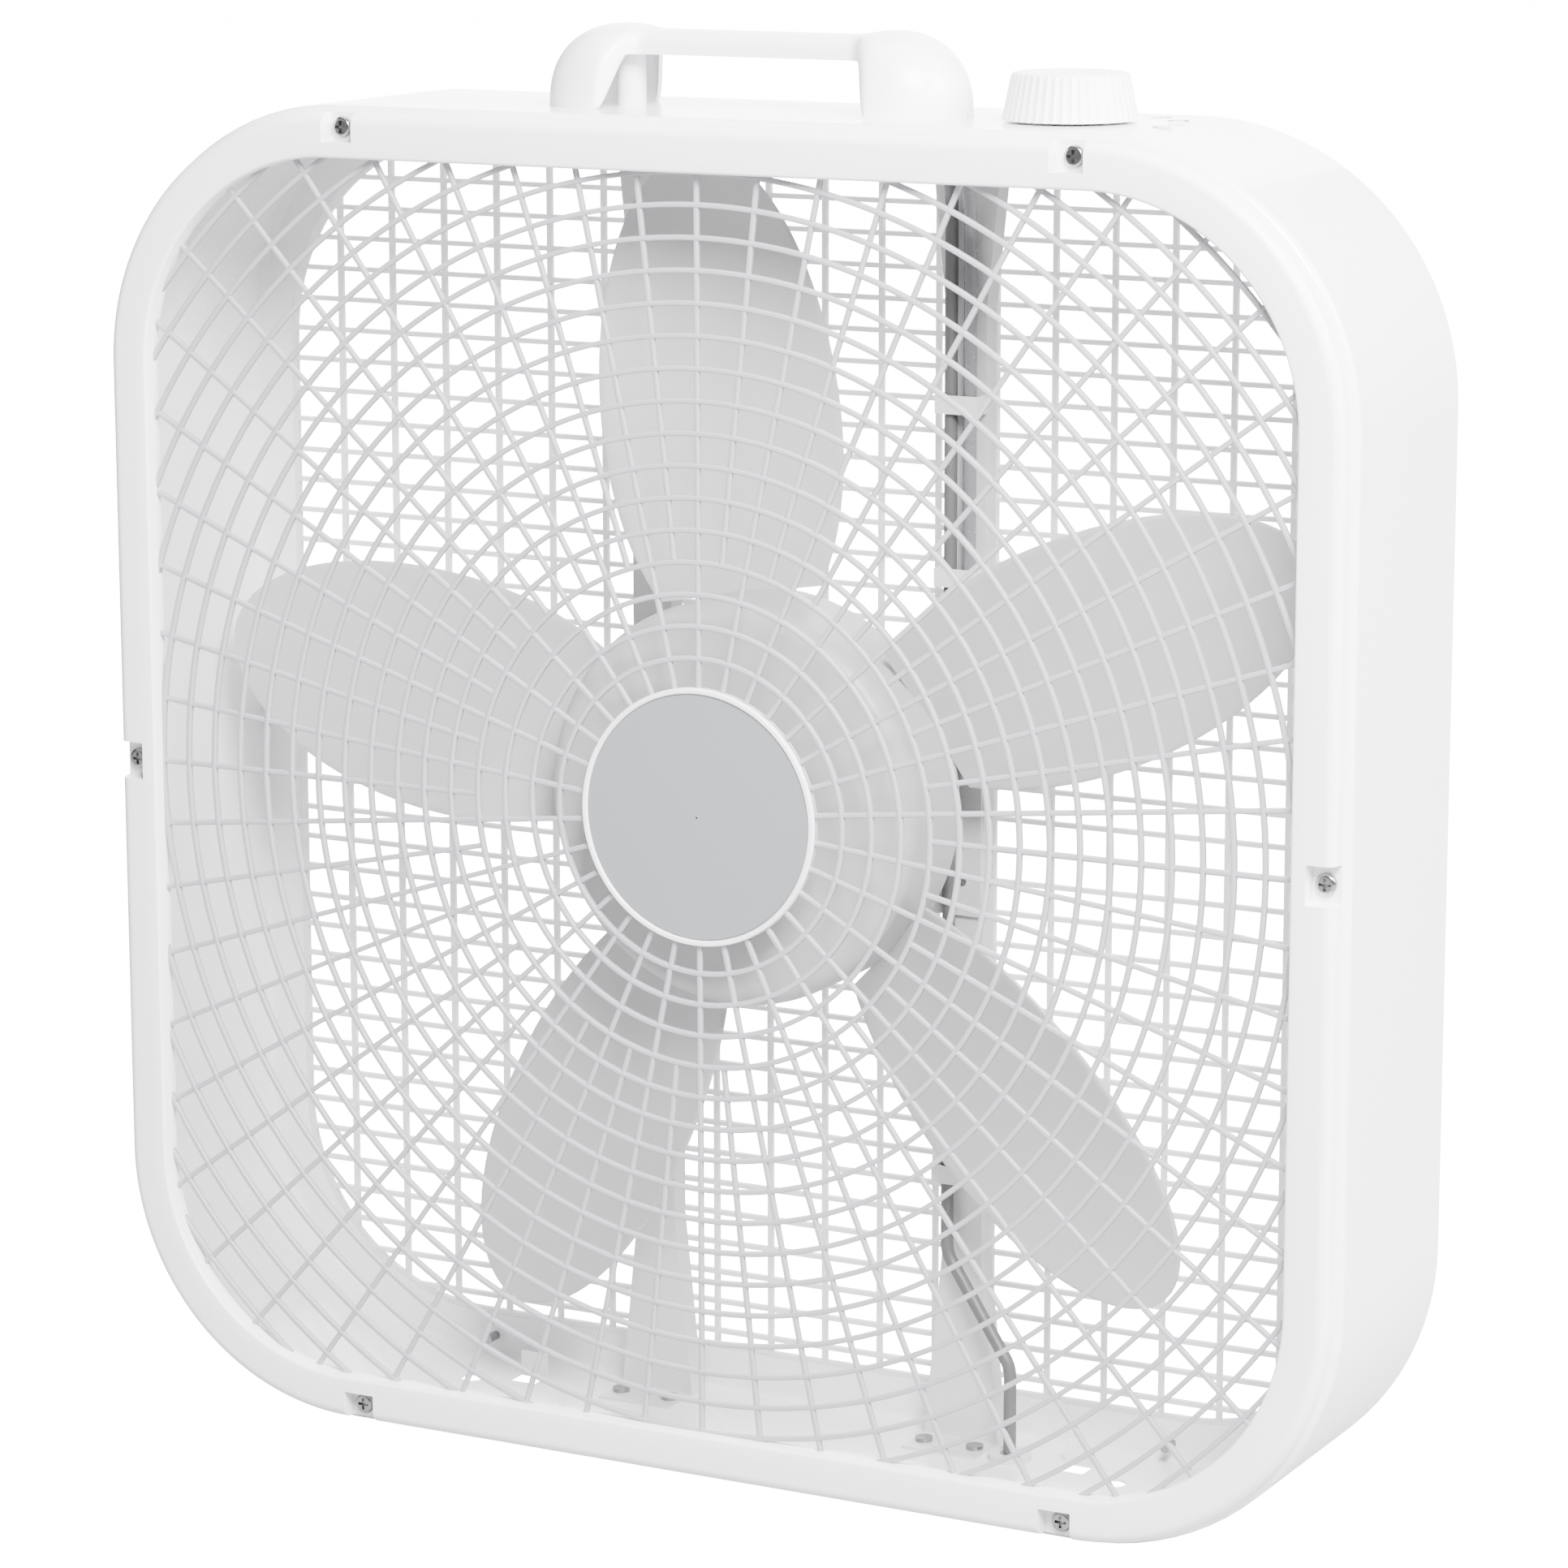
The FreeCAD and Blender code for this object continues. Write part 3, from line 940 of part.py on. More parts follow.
def make_knob():
    """Fluted cap with a dished top, hollow underneath round a bored boss."""
    body = new_body("knob", "knob_side", "fittings_line", "band_height + knob_lift")
    base, crown, tall = dim["knob_base"] / 2, dim["knob_crown"] / 2, dim["knob_height"]
    profile = new_sketch(body, "XZ_Plane", "knob_profile")
    points = [(0, 0), (base, 0), (crown, tall), (0, tall)]
    for start, end in zip(points, points[1:] + points[:1]):
        profile.addGeometry(Part.LineSegment(Vector(*start, 0), Vector(*end, 0)))
    for line in range(4):
        profile.addConstraint(Sketcher.Constraint("Coincident", line, 2, (line + 1) % 4, 1))
    profile.addConstraint(Sketcher.Constraint("Coincident", 0, 1, -1, 1))
    profile.addConstraint(Sketcher.Constraint("Horizontal", 0))
    profile.addConstraint(Sketcher.Constraint("Horizontal", 2))
    profile.addConstraint(Sketcher.Constraint("Vertical", 3))
    for name, constraint, formula in (
            ("base", Sketcher.Constraint("DistanceX", 0, 1, 0, 2, base), "knob_base / 2"),
            ("crown", Sketcher.Constraint("DistanceX", 2, 2, 2, 1, crown), "knob_crown / 2"),
            ("tall", Sketcher.Constraint("DistanceY", 3, 2, 3, 1, tall), "knob_height")):
        profile.renameConstraint(profile.addConstraint(constraint), name)
        bind(profile, f"Constraints.{name}", formula)
    cone = body.newObject("PartDesign::Revolution", "knob_cone")
    cone.Profile = profile
    cone.ReferenceAxis = (profile, ["V_Axis"])
    cone.Angle = 360
    doc.recompute()
    top = [f"Edge{number}" for number, edge in enumerate(cone.Shape.Edges, start=1)
           if edge.BoundBox.ZLength < 1e-6 and abs(edge.BoundBox.ZMin - tall) < 1e-6]
    soft = body.newObject("PartDesign::Fillet", "knob_top_edge")
    soft.Base = (cone, top)
    soft.Radius = 2.5

    ring = new_sketch(body, "XY_Plane", "knob_cavity")
    round_hole(ring, "outer", "knob_crown - 2 * knob_wall", "0", "0",
               (dim["knob_crown"] - 2 * dim["knob_wall"], 0, 0))
    round_hole(ring, "boss", "knob_boss", "0", "0", (dim["knob_boss"], 0, 0))
    cavity = body.newObject("PartDesign::Pocket", "knob_hollow")
    cavity.Profile = ring
    cavity.Reversed = True
    bind(cavity, "Length", "knob_height - knob_wall - 1")
    socket_sketch = new_sketch(body, "XY_Plane", "knob_socket")
    round_hole(socket_sketch, "socket", "switch_shaft_diameter", "0", "0", (dim["switch_shaft_diameter"], 0, 0))
    socket = body.newObject("PartDesign::Pocket", "knob_socket_cut")
    socket.Profile = socket_sketch
    socket.Reversed = True
    bind(socket, "Length", "switch_shaft_length - knob_lift")
    recess_sketch = new_sketch(body, "XY_Plane", "knob_nut_room")
    round_hole(recess_sketch, "room", "nut_width + 2", "0", "0", (dim["nut_width"] + 2, 0, 0))
    recess = body.newObject("PartDesign::Pocket", "knob_nut_recess")
    recess.Profile = recess_sketch
    recess.Reversed = True
    bind(recess, "Length", "switch_bush_length - band_gauge - knob_lift + 1")
    doc.recompute()

    node_objects.remove(body)
    body.Label = "knob_blank"
    lean = math.degrees(math.atan2(base - crown, tall))
    flutes = []
    for number in range(int(dim["knob_flutes"])):
        rod = doc.addObject("Part::Cylinder", "flute")
        bind(rod, "Radius", "flute_radius")
        bind(rod, "Height", "knob_height + 4")
        spin = Rotation(Vector(0, 0, 1), 360 / dim["knob_flutes"] * number)
        rod.Placement = Placement(Vector(), spin.multiply(Rotation(Vector(0, 1, 0), -lean)))
        turn = f"{360 / dim['knob_flutes'] * number} deg"
        reach = "(knob_base / 2 + flute_radius * 0.35 + (knob_base - knob_crown) / knob_height)"
        flutes.append(place(rod, f"knob_side + {reach} * cos({turn})", f"fittings_line + {reach} * sin({turn})",
                            "band_height + knob_lift - 2"))
    return node(cut(body, flutes), "knob")


def make_switch():
    """Rotary switch under the wrapper's roof; its bush comes through the roof and a nut holds it."""
    x, y = "knob_side", "fittings_line"
    case = block(("switch_width", "switch_width", "switch_height"),
                 (f"{x} - switch_width / 2", f"{y} - switch_width / 2", f"{ROOF} - switch_height"))
    bush = post("switch_bush", "switch_bush_length", x, y, ROOF)
    bore = post("switch_shaft_diameter + 2 * running_gap", "2 * switch_height", x, y,
                f"{ROOF} - switch_height / 2")
    terminals = []
    for step in (-1.5, -0.5, 0.5, 1.5):
        terminals.append(block(("5", "0.8", "5"), (f"{x} - 2.5", f"{y} + {step} * 7", f"{ROOF} - switch_height - 5")))
    node(cut(fuse([case, bush] + terminals), [bore]), "switch_body")
    node(post("switch_shaft_diameter", "band_gauge + switch_shaft_length + switch_height / 2 - 0.5", x, y,
              f"{ROOF} - switch_height / 2 + 0.5"), "switch_shaft")
    hexagon = doc.addObject("Part::Prism", "switch_hex")
    hexagon.Polygon = 6
    bind(hexagon, "Circumradius", "nut_width / 2")
    bind(hexagon, "Height", "nut_height")
    place(hexagon, x, y, "band_height")
    node(cut(hexagon, [post("switch_bush", "3 * nut_height", x, y, "band_height - nut_height")]), "switch_nut")


# ---------------------------------------------------------------- electrics

def lead(points, label):
    """A round lead: straight runs joined by arcs of the leads' bend radius."""
    radius = dim["lead_diameter"] / 2
    edges = []
    start = points[0]
    for before, here, after in zip(points, points[1:], points[2:]):
        back, ahead = (before - here).normalize(), (after - here).normalize()
        half_turn = (math.pi - back.getAngle(ahead)) / 2
        trim = dim["lead_bend"] * math.tan(half_turn)
        first, last = here + back * trim, here + ahead * trim
        bisector = (back + ahead).normalize()
        centre = here + bisector * (dim["lead_bend"] / math.cos(half_turn))
        middle = centre - bisector * dim["lead_bend"]
        edges.append(Part.LineSegment(start, first).toShape())
        edges.append(Part.Arc(first, middle, last).toShape())
        start = last
    edges.append(Part.LineSegment(start, points[-1]).toShape())
    path = Part.Wire(edges)
    ring = Part.Wire(Part.Circle(points[0], points[1] - points[0], radius).toShape())
    tube = path.makePipeShell([ring], True, True)
    expected = math.pi * radius ** 2 * path.Length
    if abs(tube.Volume - expected) > 0.01 * expected:
        raise ValueError(f"{label}: volume {tube.Volume:.0f} against {expected:.0f}")
    return feature(tube, label)


def make_leads():
    """The supply lead climbs the right strut from the inlet to the switch; the motor lead joins it."""
    radius = dim["lead_diameter"] / 2
    plane = motor_back - radius - dim["strap_gauge"] / 2
    left = dim["strut_side"] - dim["lead_gap"] / 2
    right = dim["strut_side"] + dim["lead_gap"] / 2
    inlet = Vector(dim["inlet_side"], dim["inlet_line"], dim["band_gauge"] + dim["inlet_collar_height"])
    floor = dim["band_gauge"] + dim["foot_height"] * 0.5
    switch_side = dim["knob_side"] - dim["switch_width"] / 2
    line = dim["fittings_line"]
    lane = roof - dim["switch_height"] * 0.5
    supply = [inlet, inlet + Vector(0, 0, floor - inlet.z), Vector(left, plane, floor + 40),
              Vector(left, plane, lane - 24), Vector(left + 16, line - 4, lane), Vector(switch_side, line - 4, lane)]
    lead(supply, "supply_lead")
    exit_y = dim["stack_front"] + dim["stack_length"] * 0.86
    motor = [Vector(dim["motor_diameter"] / 2, exit_y, shaft_z), Vector(right, exit_y, shaft_z),
             Vector(right, plane, shaft_z + 44), Vector(right, plane, lane - 34),
             Vector(right + 10, line + 6, lane), Vector(switch_side, line + 6, lane)]
    lead(motor, "motor_lead")


def make_lead_clips():
    """Saddle clips hold the leads on the right strut."""
    clips = []
    for rise in (-150, -90, 84, 150):
        start = ("strut_side - lead_gap / 2 - lead_diameter / 2 - 2 * strap_gauge",
                 f"{MOTOR_BACK} - lead_diameter - 2 * strap_gauge", f"{SHAFT_Z} + {rise} - strap_width / 2")
        width = "lead_gap + lead_diameter + 4 * strap_gauge"
        depth = "lead_diameter + 2 * strap_gauge + plate_gauge"
        saddle = block((width, depth, "strap_width"), start)
        hollow = block((f"{width} - 2 * strap_gauge", depth, "2 * strap_width"),
                       (f"{start[0]} + strap_gauge", f"{start[1]} + strap_gauge", f"{start[2]} - strap_width / 2"))
        clips.append(cut(saddle, [hollow]))
    group(clips, "lead_clips")


def make_capacitor():
    """Run capacitor behind the motor plate, held by a strap."""
    left, low = "(-capacitor_side - capacitor_width / 2)", f"({SHAFT_Z} - capacitor_height / 2)"
    node(block(("capacitor_width", "capacitor_depth - strap_gauge", "capacitor_height"), (left, WEB_FRONT, low)),
         "capacitor")
    outer = block(("capacitor_width + 2 * strap_gauge", "capacitor_depth", "strap_width"),
                  (f"{left} - strap_gauge", WEB_FRONT, f"{SHAFT_Z} - strap_width / 2"))
    inner = block(("capacitor_width", "capacitor_depth - strap_gauge", "2 * strap_width"),
                  (left, WEB_FRONT, f"{SHAFT_Z} - strap_width"))
    node(cut(outer, [inner]), "capacitor_strap")


def make_inlet_bush():
    """Snap-in bush that lines the cord's hole in the wrapper's floor, flush with the underside."""
    x, y = "inlet_side", "inlet_line"
    sleeve = post("inlet_bore + 2 * inlet_wall", "band_gauge + inlet_collar_height - 0.1", x, y, "0.1")
    collar = post("inlet_collar", "inlet_collar_height", x, y, "band_gauge")
    bore = post("inlet_bore", "6 * inlet_collar_height", x, y, "-inlet_collar_height")
    return node(cut(fuse([sleeve, collar]), [bore]), "cord_inlet_bush")


# ---------------------------------------------------------------- the whole fan

add_foot_tabs(make_band())
make_front_grille()
make_badge()
make_rear_grille()
make_grille_screws()
make_impeller()
make_shaft_group()
make_motor()
make_strut(-1, "strut_left")
make_strut(1, "strut_right")
make_strut_fasteners()
make_motor_plate()
make_handle()
make_handle_screws()
make_knob()
make_switch()
make_leads()
make_lead_clips()
make_capacitor()
make_inlet_bush()
doc.recompute()

for item in doc.Objects:
    if "Invalid" in item.State or "Error" in item.State:
        raise RuntimeError(f"{item.Label}: {item.State}")
for item in node_objects:
    if item.Shape.isNull() or not item.Shape.isValid() or not item.Shape.Solids:
        raise RuntimeError(f"{item.Label}: the shape is empty or not valid")

os.makedirs("parts", exist_ok=True)
for item in node_objects:
    item.Shape.exportStep(f"parts/{item.Label}.step")
    box = item.Shape.BoundBox
    print(f"{item.Label:22s} solids {len(item.Shape.Solids):2d}  volume {item.Shape.Volume / 1000:8.2f} cm3  "
          f"x {box.XMin:7.1f} {box.XMax:7.1f}  y {box.YMin:6.1f} {box.YMax:6.1f}  z {box.ZMin:6.1f} {box.ZMax:6.1f}")
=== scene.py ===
import json
import math

import bpy
import numpy as np
from bpy.props import FloatProperty, FloatVectorProperty, IntProperty, PointerProperty
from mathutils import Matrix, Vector


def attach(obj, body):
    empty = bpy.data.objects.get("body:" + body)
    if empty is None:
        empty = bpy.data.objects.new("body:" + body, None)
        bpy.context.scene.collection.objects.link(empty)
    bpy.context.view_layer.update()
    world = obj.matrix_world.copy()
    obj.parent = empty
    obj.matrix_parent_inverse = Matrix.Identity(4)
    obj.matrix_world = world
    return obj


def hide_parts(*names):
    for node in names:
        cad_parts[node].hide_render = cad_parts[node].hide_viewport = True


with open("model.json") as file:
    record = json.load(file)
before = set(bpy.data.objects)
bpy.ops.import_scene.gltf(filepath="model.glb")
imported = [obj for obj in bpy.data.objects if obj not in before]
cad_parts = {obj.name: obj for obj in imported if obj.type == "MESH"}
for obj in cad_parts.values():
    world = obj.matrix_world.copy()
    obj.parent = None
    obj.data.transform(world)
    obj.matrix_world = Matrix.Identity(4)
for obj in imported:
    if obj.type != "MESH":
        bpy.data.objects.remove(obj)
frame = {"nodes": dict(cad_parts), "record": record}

bl_info = {
    "name": "Box fan looks",
    "blender": (4, 5, 0),
    "version": (1, 0, 0),
    "location": "View3D > Sidebar > Box fan",
    "description": "Surfaces, materials, light and camera for a white box fan",
    "category": "Object",
}

MM = 0.001
FULL = 2 * math.pi


# ---------------------------------------------------------------- settings

def metres(name, description, value):
    """A size in metres."""
    return FloatProperty(name=name, description=description, default=value, unit="LENGTH")


def degrees(name, description, value):
    """An angle, given in degrees."""
    return FloatProperty(name=name, description=description, default=math.radians(value), subtype="ANGLE")


def watts(name, description, value):
    """A lamp's power in watts."""
    return FloatProperty(name=name, description=description, default=value, unit="POWER")


def whole(name, description, value):
    """A whole number of features."""
    return IntProperty(name=name, description=description, default=value)


class FrameSettings(bpy.types.PropertyGroup):
    """Sizes of the wrapper and of the two grilles."""
    centre_z: metres("Shaft height", "Height of the shaft", 0.26)
    band_front: metres("Wrapper front", "Front plane of the wrapper", -0.0471)
    rim_front: metres("Rim front", "Front plane of the grille's rim", -0.0555)
    rim_half: metres("Rim half width", "Half of the rim's width", 0.2575)
    rim_corner: metres("Rim corner", "Outer corner radius of the rim", 0.0995)
    rim_width: metres("Rim face", "Width of the rim's face", 0.017)
    rib_front: metres("Rib front", "Front plane of the ribs", -0.0501)
    rib_width: metres("Rib width", "Width of a rib", 0.002)
    rib_depth: metres("Rib depth", "Depth of a rib", 0.0024)
    ring_pitch: metres("Ring pitch", "Distance between two rings", 0.01204)
    badge_rings: whole("Badge rings", "Ring pitches under the badge", 4)
    short_rings: whole("Short spokes", "Ring pitch at which short spokes start", 8)
    spokes: whole("Spokes", "Full spokes", 30)
    pocket_width: metres("Pocket width", "Width of a screw pocket", 0.014)
    pocket_depth: metres("Pocket depth", "Reach of a screw pocket", 0.011)
    screw_side: metres("Screw side", "Sideways place of the upper and lower screws", 0.152)


class ImpellerSettings(bpy.types.PropertyGroup):
    """Sizes of the hub and the blades."""
    blades: whole("Blades", "Number of blades", 5)
    tip: metres("Tip radius", "Radius at the blade tips", 0.246)
    belly: metres("Belly radius", "Radius at which a blade is widest", 0.145)
    half_width: metres("Half width", "Half of a blade's largest width", 0.0465)
    thickness: metres("Thickness", "Blade thickness", 0.0019)
    camber: metres("Camber", "Bulge of a blade", 0.0049)
    pitch_root: degrees("Root angle", "Blade angle at the hub", 22)
    pitch_tip: degrees("Tip angle", "Blade angle at the tip", 9)
    turn: degrees("Turn", "First blade's turn from straight up", 7)
    plane: metres("Blade plane", "Middle of the blades", 0.001)
    hub_radius: metres("Hub radius", "Outer radius of the hub", 0.078)
    hub_front: metres("Hub front", "Front of the hub", -0.028)
    hub_length: metres("Hub length", "Length of the hub", 0.042)


class FittingSettings(bpy.types.PropertyGroup):
    """Sizes of the handle and the knob on top of the wrapper."""
    roof: metres("Roof", "Top of the wrapper", 0.52)
    handle_half: metres("Handle half length", "Half of the handle's length", 0.086)
    end_start: metres("End start", "Where a hollow end begins", 0.057)
    end_depth: metres("End depth", "Half depth of a hollow end", 0.025)
    end_rise: metres("End height", "Height of a hollow end", 0.031)
    grip_depth: metres("Grip depth", "Half depth of the grip", 0.011)
    grip_top: metres("Grip top", "Top of the grip", 0.0292)
    grip_low: metres("Grip underside", "Underside of the grip", 0.0202)
    handle_wall: metres("Handle wall", "Wall of a hollow end", 0.0028)
    post_side: metres("Post place", "Sideways place of a screw post", 0.054)
    post_radius: metres("Post radius", "Radius of a screw post", 0.0054)
    knob_x: metres("Knob place", "Sideways place of the knob", 0.1275)
    knob_base: metres("Knob base", "Radius of the knob's base", 0.0248)
    knob_crown: metres("Knob crown", "Radius of the knob's top", 0.0213)
    knob_height: metres("Knob height", "Height of the knob", 0.017)
    knob_lift: metres("Knob gap", "Gap under the knob", 0.001)
    flutes: whole("Flutes", "Flutes round the knob", 45)
    mark_radius: metres("Mark radius", "Radius of the numerals", 0.0395)
    mark_step: degrees("Mark step", "Angle between numerals", 22.5)


class StageSettings(bpy.types.PropertyGroup):
    """Camera, light and floor."""
    lens: FloatProperty(name="Lens", description="Focal length in millimetres", default=121.36)
    sensor: FloatProperty(name="Sensor", description="Sensor width in millimetres", default=36.0)
    place: FloatVectorProperty(name="Camera", description="Camera position", size=3, subtype="TRANSLATION",
                               default=(0.9287, -1.7498, 0.6636))
    yaw: degrees("Yaw", "Camera's turn to the left", 27.68)
    pitch: degrees("Pitch", "Camera's tilt downwards", 11.41)
    roll: degrees("Roll", "Camera's roll", 0.08)
    key: watts("Key", "Power of the key light", 160.0)
    side: watts("Side", "Power of the light on the right flank", 330.0)
    fill: watts("Fill", "Power of the fill light", 12.0)
    back: watts("Back", "Power of the light behind the fan", 90.0)
    top: watts("Top", "Power of the overhead light", 50.0)


# ---------------------------------------------------------------- meshes from grids

def grid_faces(rows, columns, wrap_rows, wrap_columns):
    """Corner numbers of a grid's quads: quad (i, j) joins points i, i+1 by j, j+1; wrapped ends join up."""
    i, j = np.meshgrid(np.arange(rows if wrap_rows else rows - 1),
                       np.arange(columns if wrap_columns else columns - 1), indexing="ij")
    after_i, after_j = (i + 1) % rows, (j + 1) % columns
    corners = (i * columns + j, after_i * columns + j, after_i * columns + after_j, i * columns + after_j)
    return np.stack(corners, axis=-1).reshape(-1, 4)


def outward(points, faces):
    """The faces, turned over where the signed volume that they enclose about their middle is negative."""
    quad = (points - points.mean(axis=0))[faces]
    normal = np.cross(quad[:, 2] - quad[:, 0], quad[:, 3] - quad[:, 1])
    if (quad.mean(axis=1) * normal).sum() < 0:
        return faces[:, ::-1]
    return faces


def piece(name, patches, material, body, replaces=(), sharp=40):
    """One mesh object from grids of points; each patch is (points, wrap_rows, wrap_columns)."""
    points, faces, count = [], [], 0
    for patch, wrap_rows, wrap_columns in patches:
        rows, columns = patch.shape[:2]
        flat = patch.reshape(-1, 3)
        quads = outward(flat, grid_faces(rows, columns, wrap_rows, wrap_columns))
        points.append(flat)
        faces.append(quads + count)
        count += len(flat)
    points, faces = np.concatenate(points), np.concatenate(faces)
    mesh = bpy.data.meshes.new(name)
    mesh.vertices.add(len(points))
    mesh.vertices.foreach_set("co", points.astype(np.float32).ravel())
    mesh.loops.add(faces.size)
    mesh.loops.foreach_set("vertex_index", faces.astype(np.int32).ravel())
    mesh.polygons.add(len(faces))
    mesh.polygons.foreach_set("loop_start", np.arange(0, faces.size, 4, dtype=np.int32))
    mesh.update(calc_edges=True)
    mesh.validate()
    mesh.shade_smooth()
    mesh.set_sharp_from_angle(angle=math.radians(sharp))
    mesh.materials.append(material)
    item = bpy.data.objects.new(name, mesh)
    bpy.context.scene.collection.objects.link(item)
    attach(item, body)
    if replaces:
        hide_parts(*replaces)
    return item


def rounded_profile(width, height, radius, steps=3):
    """Closed outline of a rounded rectangle about (0, 0): a quarter circle at each of its four corners."""
    angles = np.linspace(0, math.pi / 2, steps + 1)
    corners = []
    for turn, (sx, sy) in enumerate(((1, 1), (-1, 1), (-1, -1), (1, -1))):
        bend = angles + turn * math.pi / 2
        corners.append(np.stack([sx * (width / 2 - radius) + radius * np.cos(bend),
                                 sy * (height / 2 - radius) + radius * np.sin(bend)], axis=-1))
    return np.concatenate(corners)


def turned(profile, angles, centre_z, wrap=True):
    """Profile points (radius, y) turned about the shaft: (r cos a, y, centre + r sin a)."""
    radius, depth = profile[:, 0], profile[:, 1]
    x = np.cos(angles)[:, None] * radius
    z = np.sin(angles)[:, None] * radius + centre_z
    y = np.broadcast_to(depth, x.shape)
    return np.stack([x, y, z], axis=-1), wrap, True


def depth_inside(x, z, half, corner):
    """How far points lie inside a rounded square about the origin; negative outside."""
    over_x, over_z = np.abs(x) - (half - corner), np.abs(z) - (half - corner)
    beyond = np.hypot(np.maximum(over_x, 0), np.maximum(over_z, 0))
    return corner - beyond - np.minimum(np.maximum(over_x, over_z), 0)


# ---------------------------------------------------------------- shader helpers

def new_group(name, inputs, outputs):
    """An empty node group with the given sockets and its input and output nodes."""
    group = bpy.data.node_groups.new(name, "ShaderNodeTree")
    for label, kind, value in inputs:
        socket = group.interface.new_socket(label, in_out="INPUT", socket_type=kind)
        socket.default_value = value
    for label, kind in outputs:
        group.interface.new_socket(label, in_out="OUTPUT", socket_type=kind)
    return group, group.nodes.new("NodeGroupInput"), group.nodes.new("NodeGroupOutput")


def grain_group():
    """Fine moulded or painted grain: two noises in object space, as a bump normal and a mask."""
    group, given, result = new_group(
        "fine_grain",
        [("Scale", "NodeSocketFloat", 900.0), ("Waves", "NodeSocketFloat", 14.0),
         ("Strength", "NodeSocketFloat", 0.1), ("Wave Strength", "NodeSocketFloat", 0.1)],
        [("Normal", "NodeSocketVector"), ("Mask", "NodeSocketFloat")])
    nodes, links = group.nodes, group.links
    coords = nodes.new("ShaderNodeTexCoord")
    fine = nodes.new("ShaderNodeTexNoise")
    broad = nodes.new("ShaderNodeTexNoise")
    fine.inputs["Detail"].default_value = 3.0
    broad.inputs["Detail"].default_value = 1.0
    for noise, scale in ((fine, "Scale"), (broad, "Waves")):
        links.new(coords.outputs["Object"], noise.inputs["Vector"])
        links.new(given.outputs[scale], noise.inputs["Scale"])
    wave_bump = nodes.new("ShaderNodeBump")
    wave_bump.inputs["Distance"].default_value = 0.002
    fine_bump = nodes.new("ShaderNodeBump")
    fine_bump.inputs["Distance"].default_value = 0.0001
    links.new(broad.outputs["Fac"], wave_bump.inputs["Height"])
    links.new(given.outputs["Wave Strength"], wave_bump.inputs["Strength"])
    links.new(fine.outputs["Fac"], fine_bump.inputs["Height"])
    links.new(given.outputs["Strength"], fine_bump.inputs["Strength"])
    links.new(wave_bump.outputs["Normal"], fine_bump.inputs["Normal"])
    links.new(fine_bump.outputs["Normal"], result.inputs["Normal"])
    links.new(fine.outputs["Fac"], result.inputs["Mask"])
    return group


def tone_group():
    """A base colour that drifts a little darker in broad soft patches, with sparse fine specks."""
    group, given, result = new_group(
        "tone_drift",
        [("Base", "NodeSocketColor", (0.8, 0.8, 0.8, 1.0)), ("Drift", "NodeSocketFloat", 0.03),
         ("Scale", "NodeSocketFloat", 9.0), ("Specks", "NodeSocketFloat", 0.05)],
        [("Color", "NodeSocketColor"), ("Patches", "NodeSocketFloat")])
    nodes, links = group.nodes, group.links
    coords = nodes.new("ShaderNodeTexCoord")
    broad = nodes.new("ShaderNodeTexNoise")
    broad.inputs["Detail"].default_value = 4.0
    links.new(coords.outputs["Object"], broad.inputs["Vector"])
    links.new(given.outputs["Scale"], broad.inputs["Scale"])
    dust = nodes.new("ShaderNodeTexNoise")
    dust.inputs["Scale"].default_value = 420.0
    dust.inputs["Detail"].default_value = 2.0
    links.new(coords.outputs["Object"], dust.inputs["Vector"])
    specks = nodes.new("ShaderNodeMapRange")
    specks.inputs["From Min"].default_value = 0.7
    specks.inputs["From Max"].default_value = 0.78
    links.new(dust.outputs["Fac"], specks.inputs["Value"])
    speck_share = nodes.new("ShaderNodeMath")
    speck_share.operation = "MULTIPLY"
    links.new(specks.outputs["Result"], speck_share.inputs[0])
    links.new(given.outputs["Specks"], speck_share.inputs[1])
    share = nodes.new("ShaderNodeMath")
    share.operation = "MULTIPLY_ADD"
    links.new(broad.outputs["Fac"], share.inputs[0])
    links.new(given.outputs["Drift"], share.inputs[1])
    links.new(speck_share.outputs["Value"], share.inputs[2])
    darker = nodes.new("ShaderNodeMix")
    darker.data_type = "RGBA"
    darker.blend_type = "MULTIPLY"
    darker.inputs["B"].default_value = (0.25, 0.24, 0.22, 1.0)
    links.new(share.outputs["Value"], darker.inputs["Factor"])
    links.new(given.outputs["Base"], darker.inputs["A"])
    links.new(darker.outputs["Result"], result.inputs["Color"])
    links.new(broad.outputs["Fac"], result.inputs["Patches"])
    return group


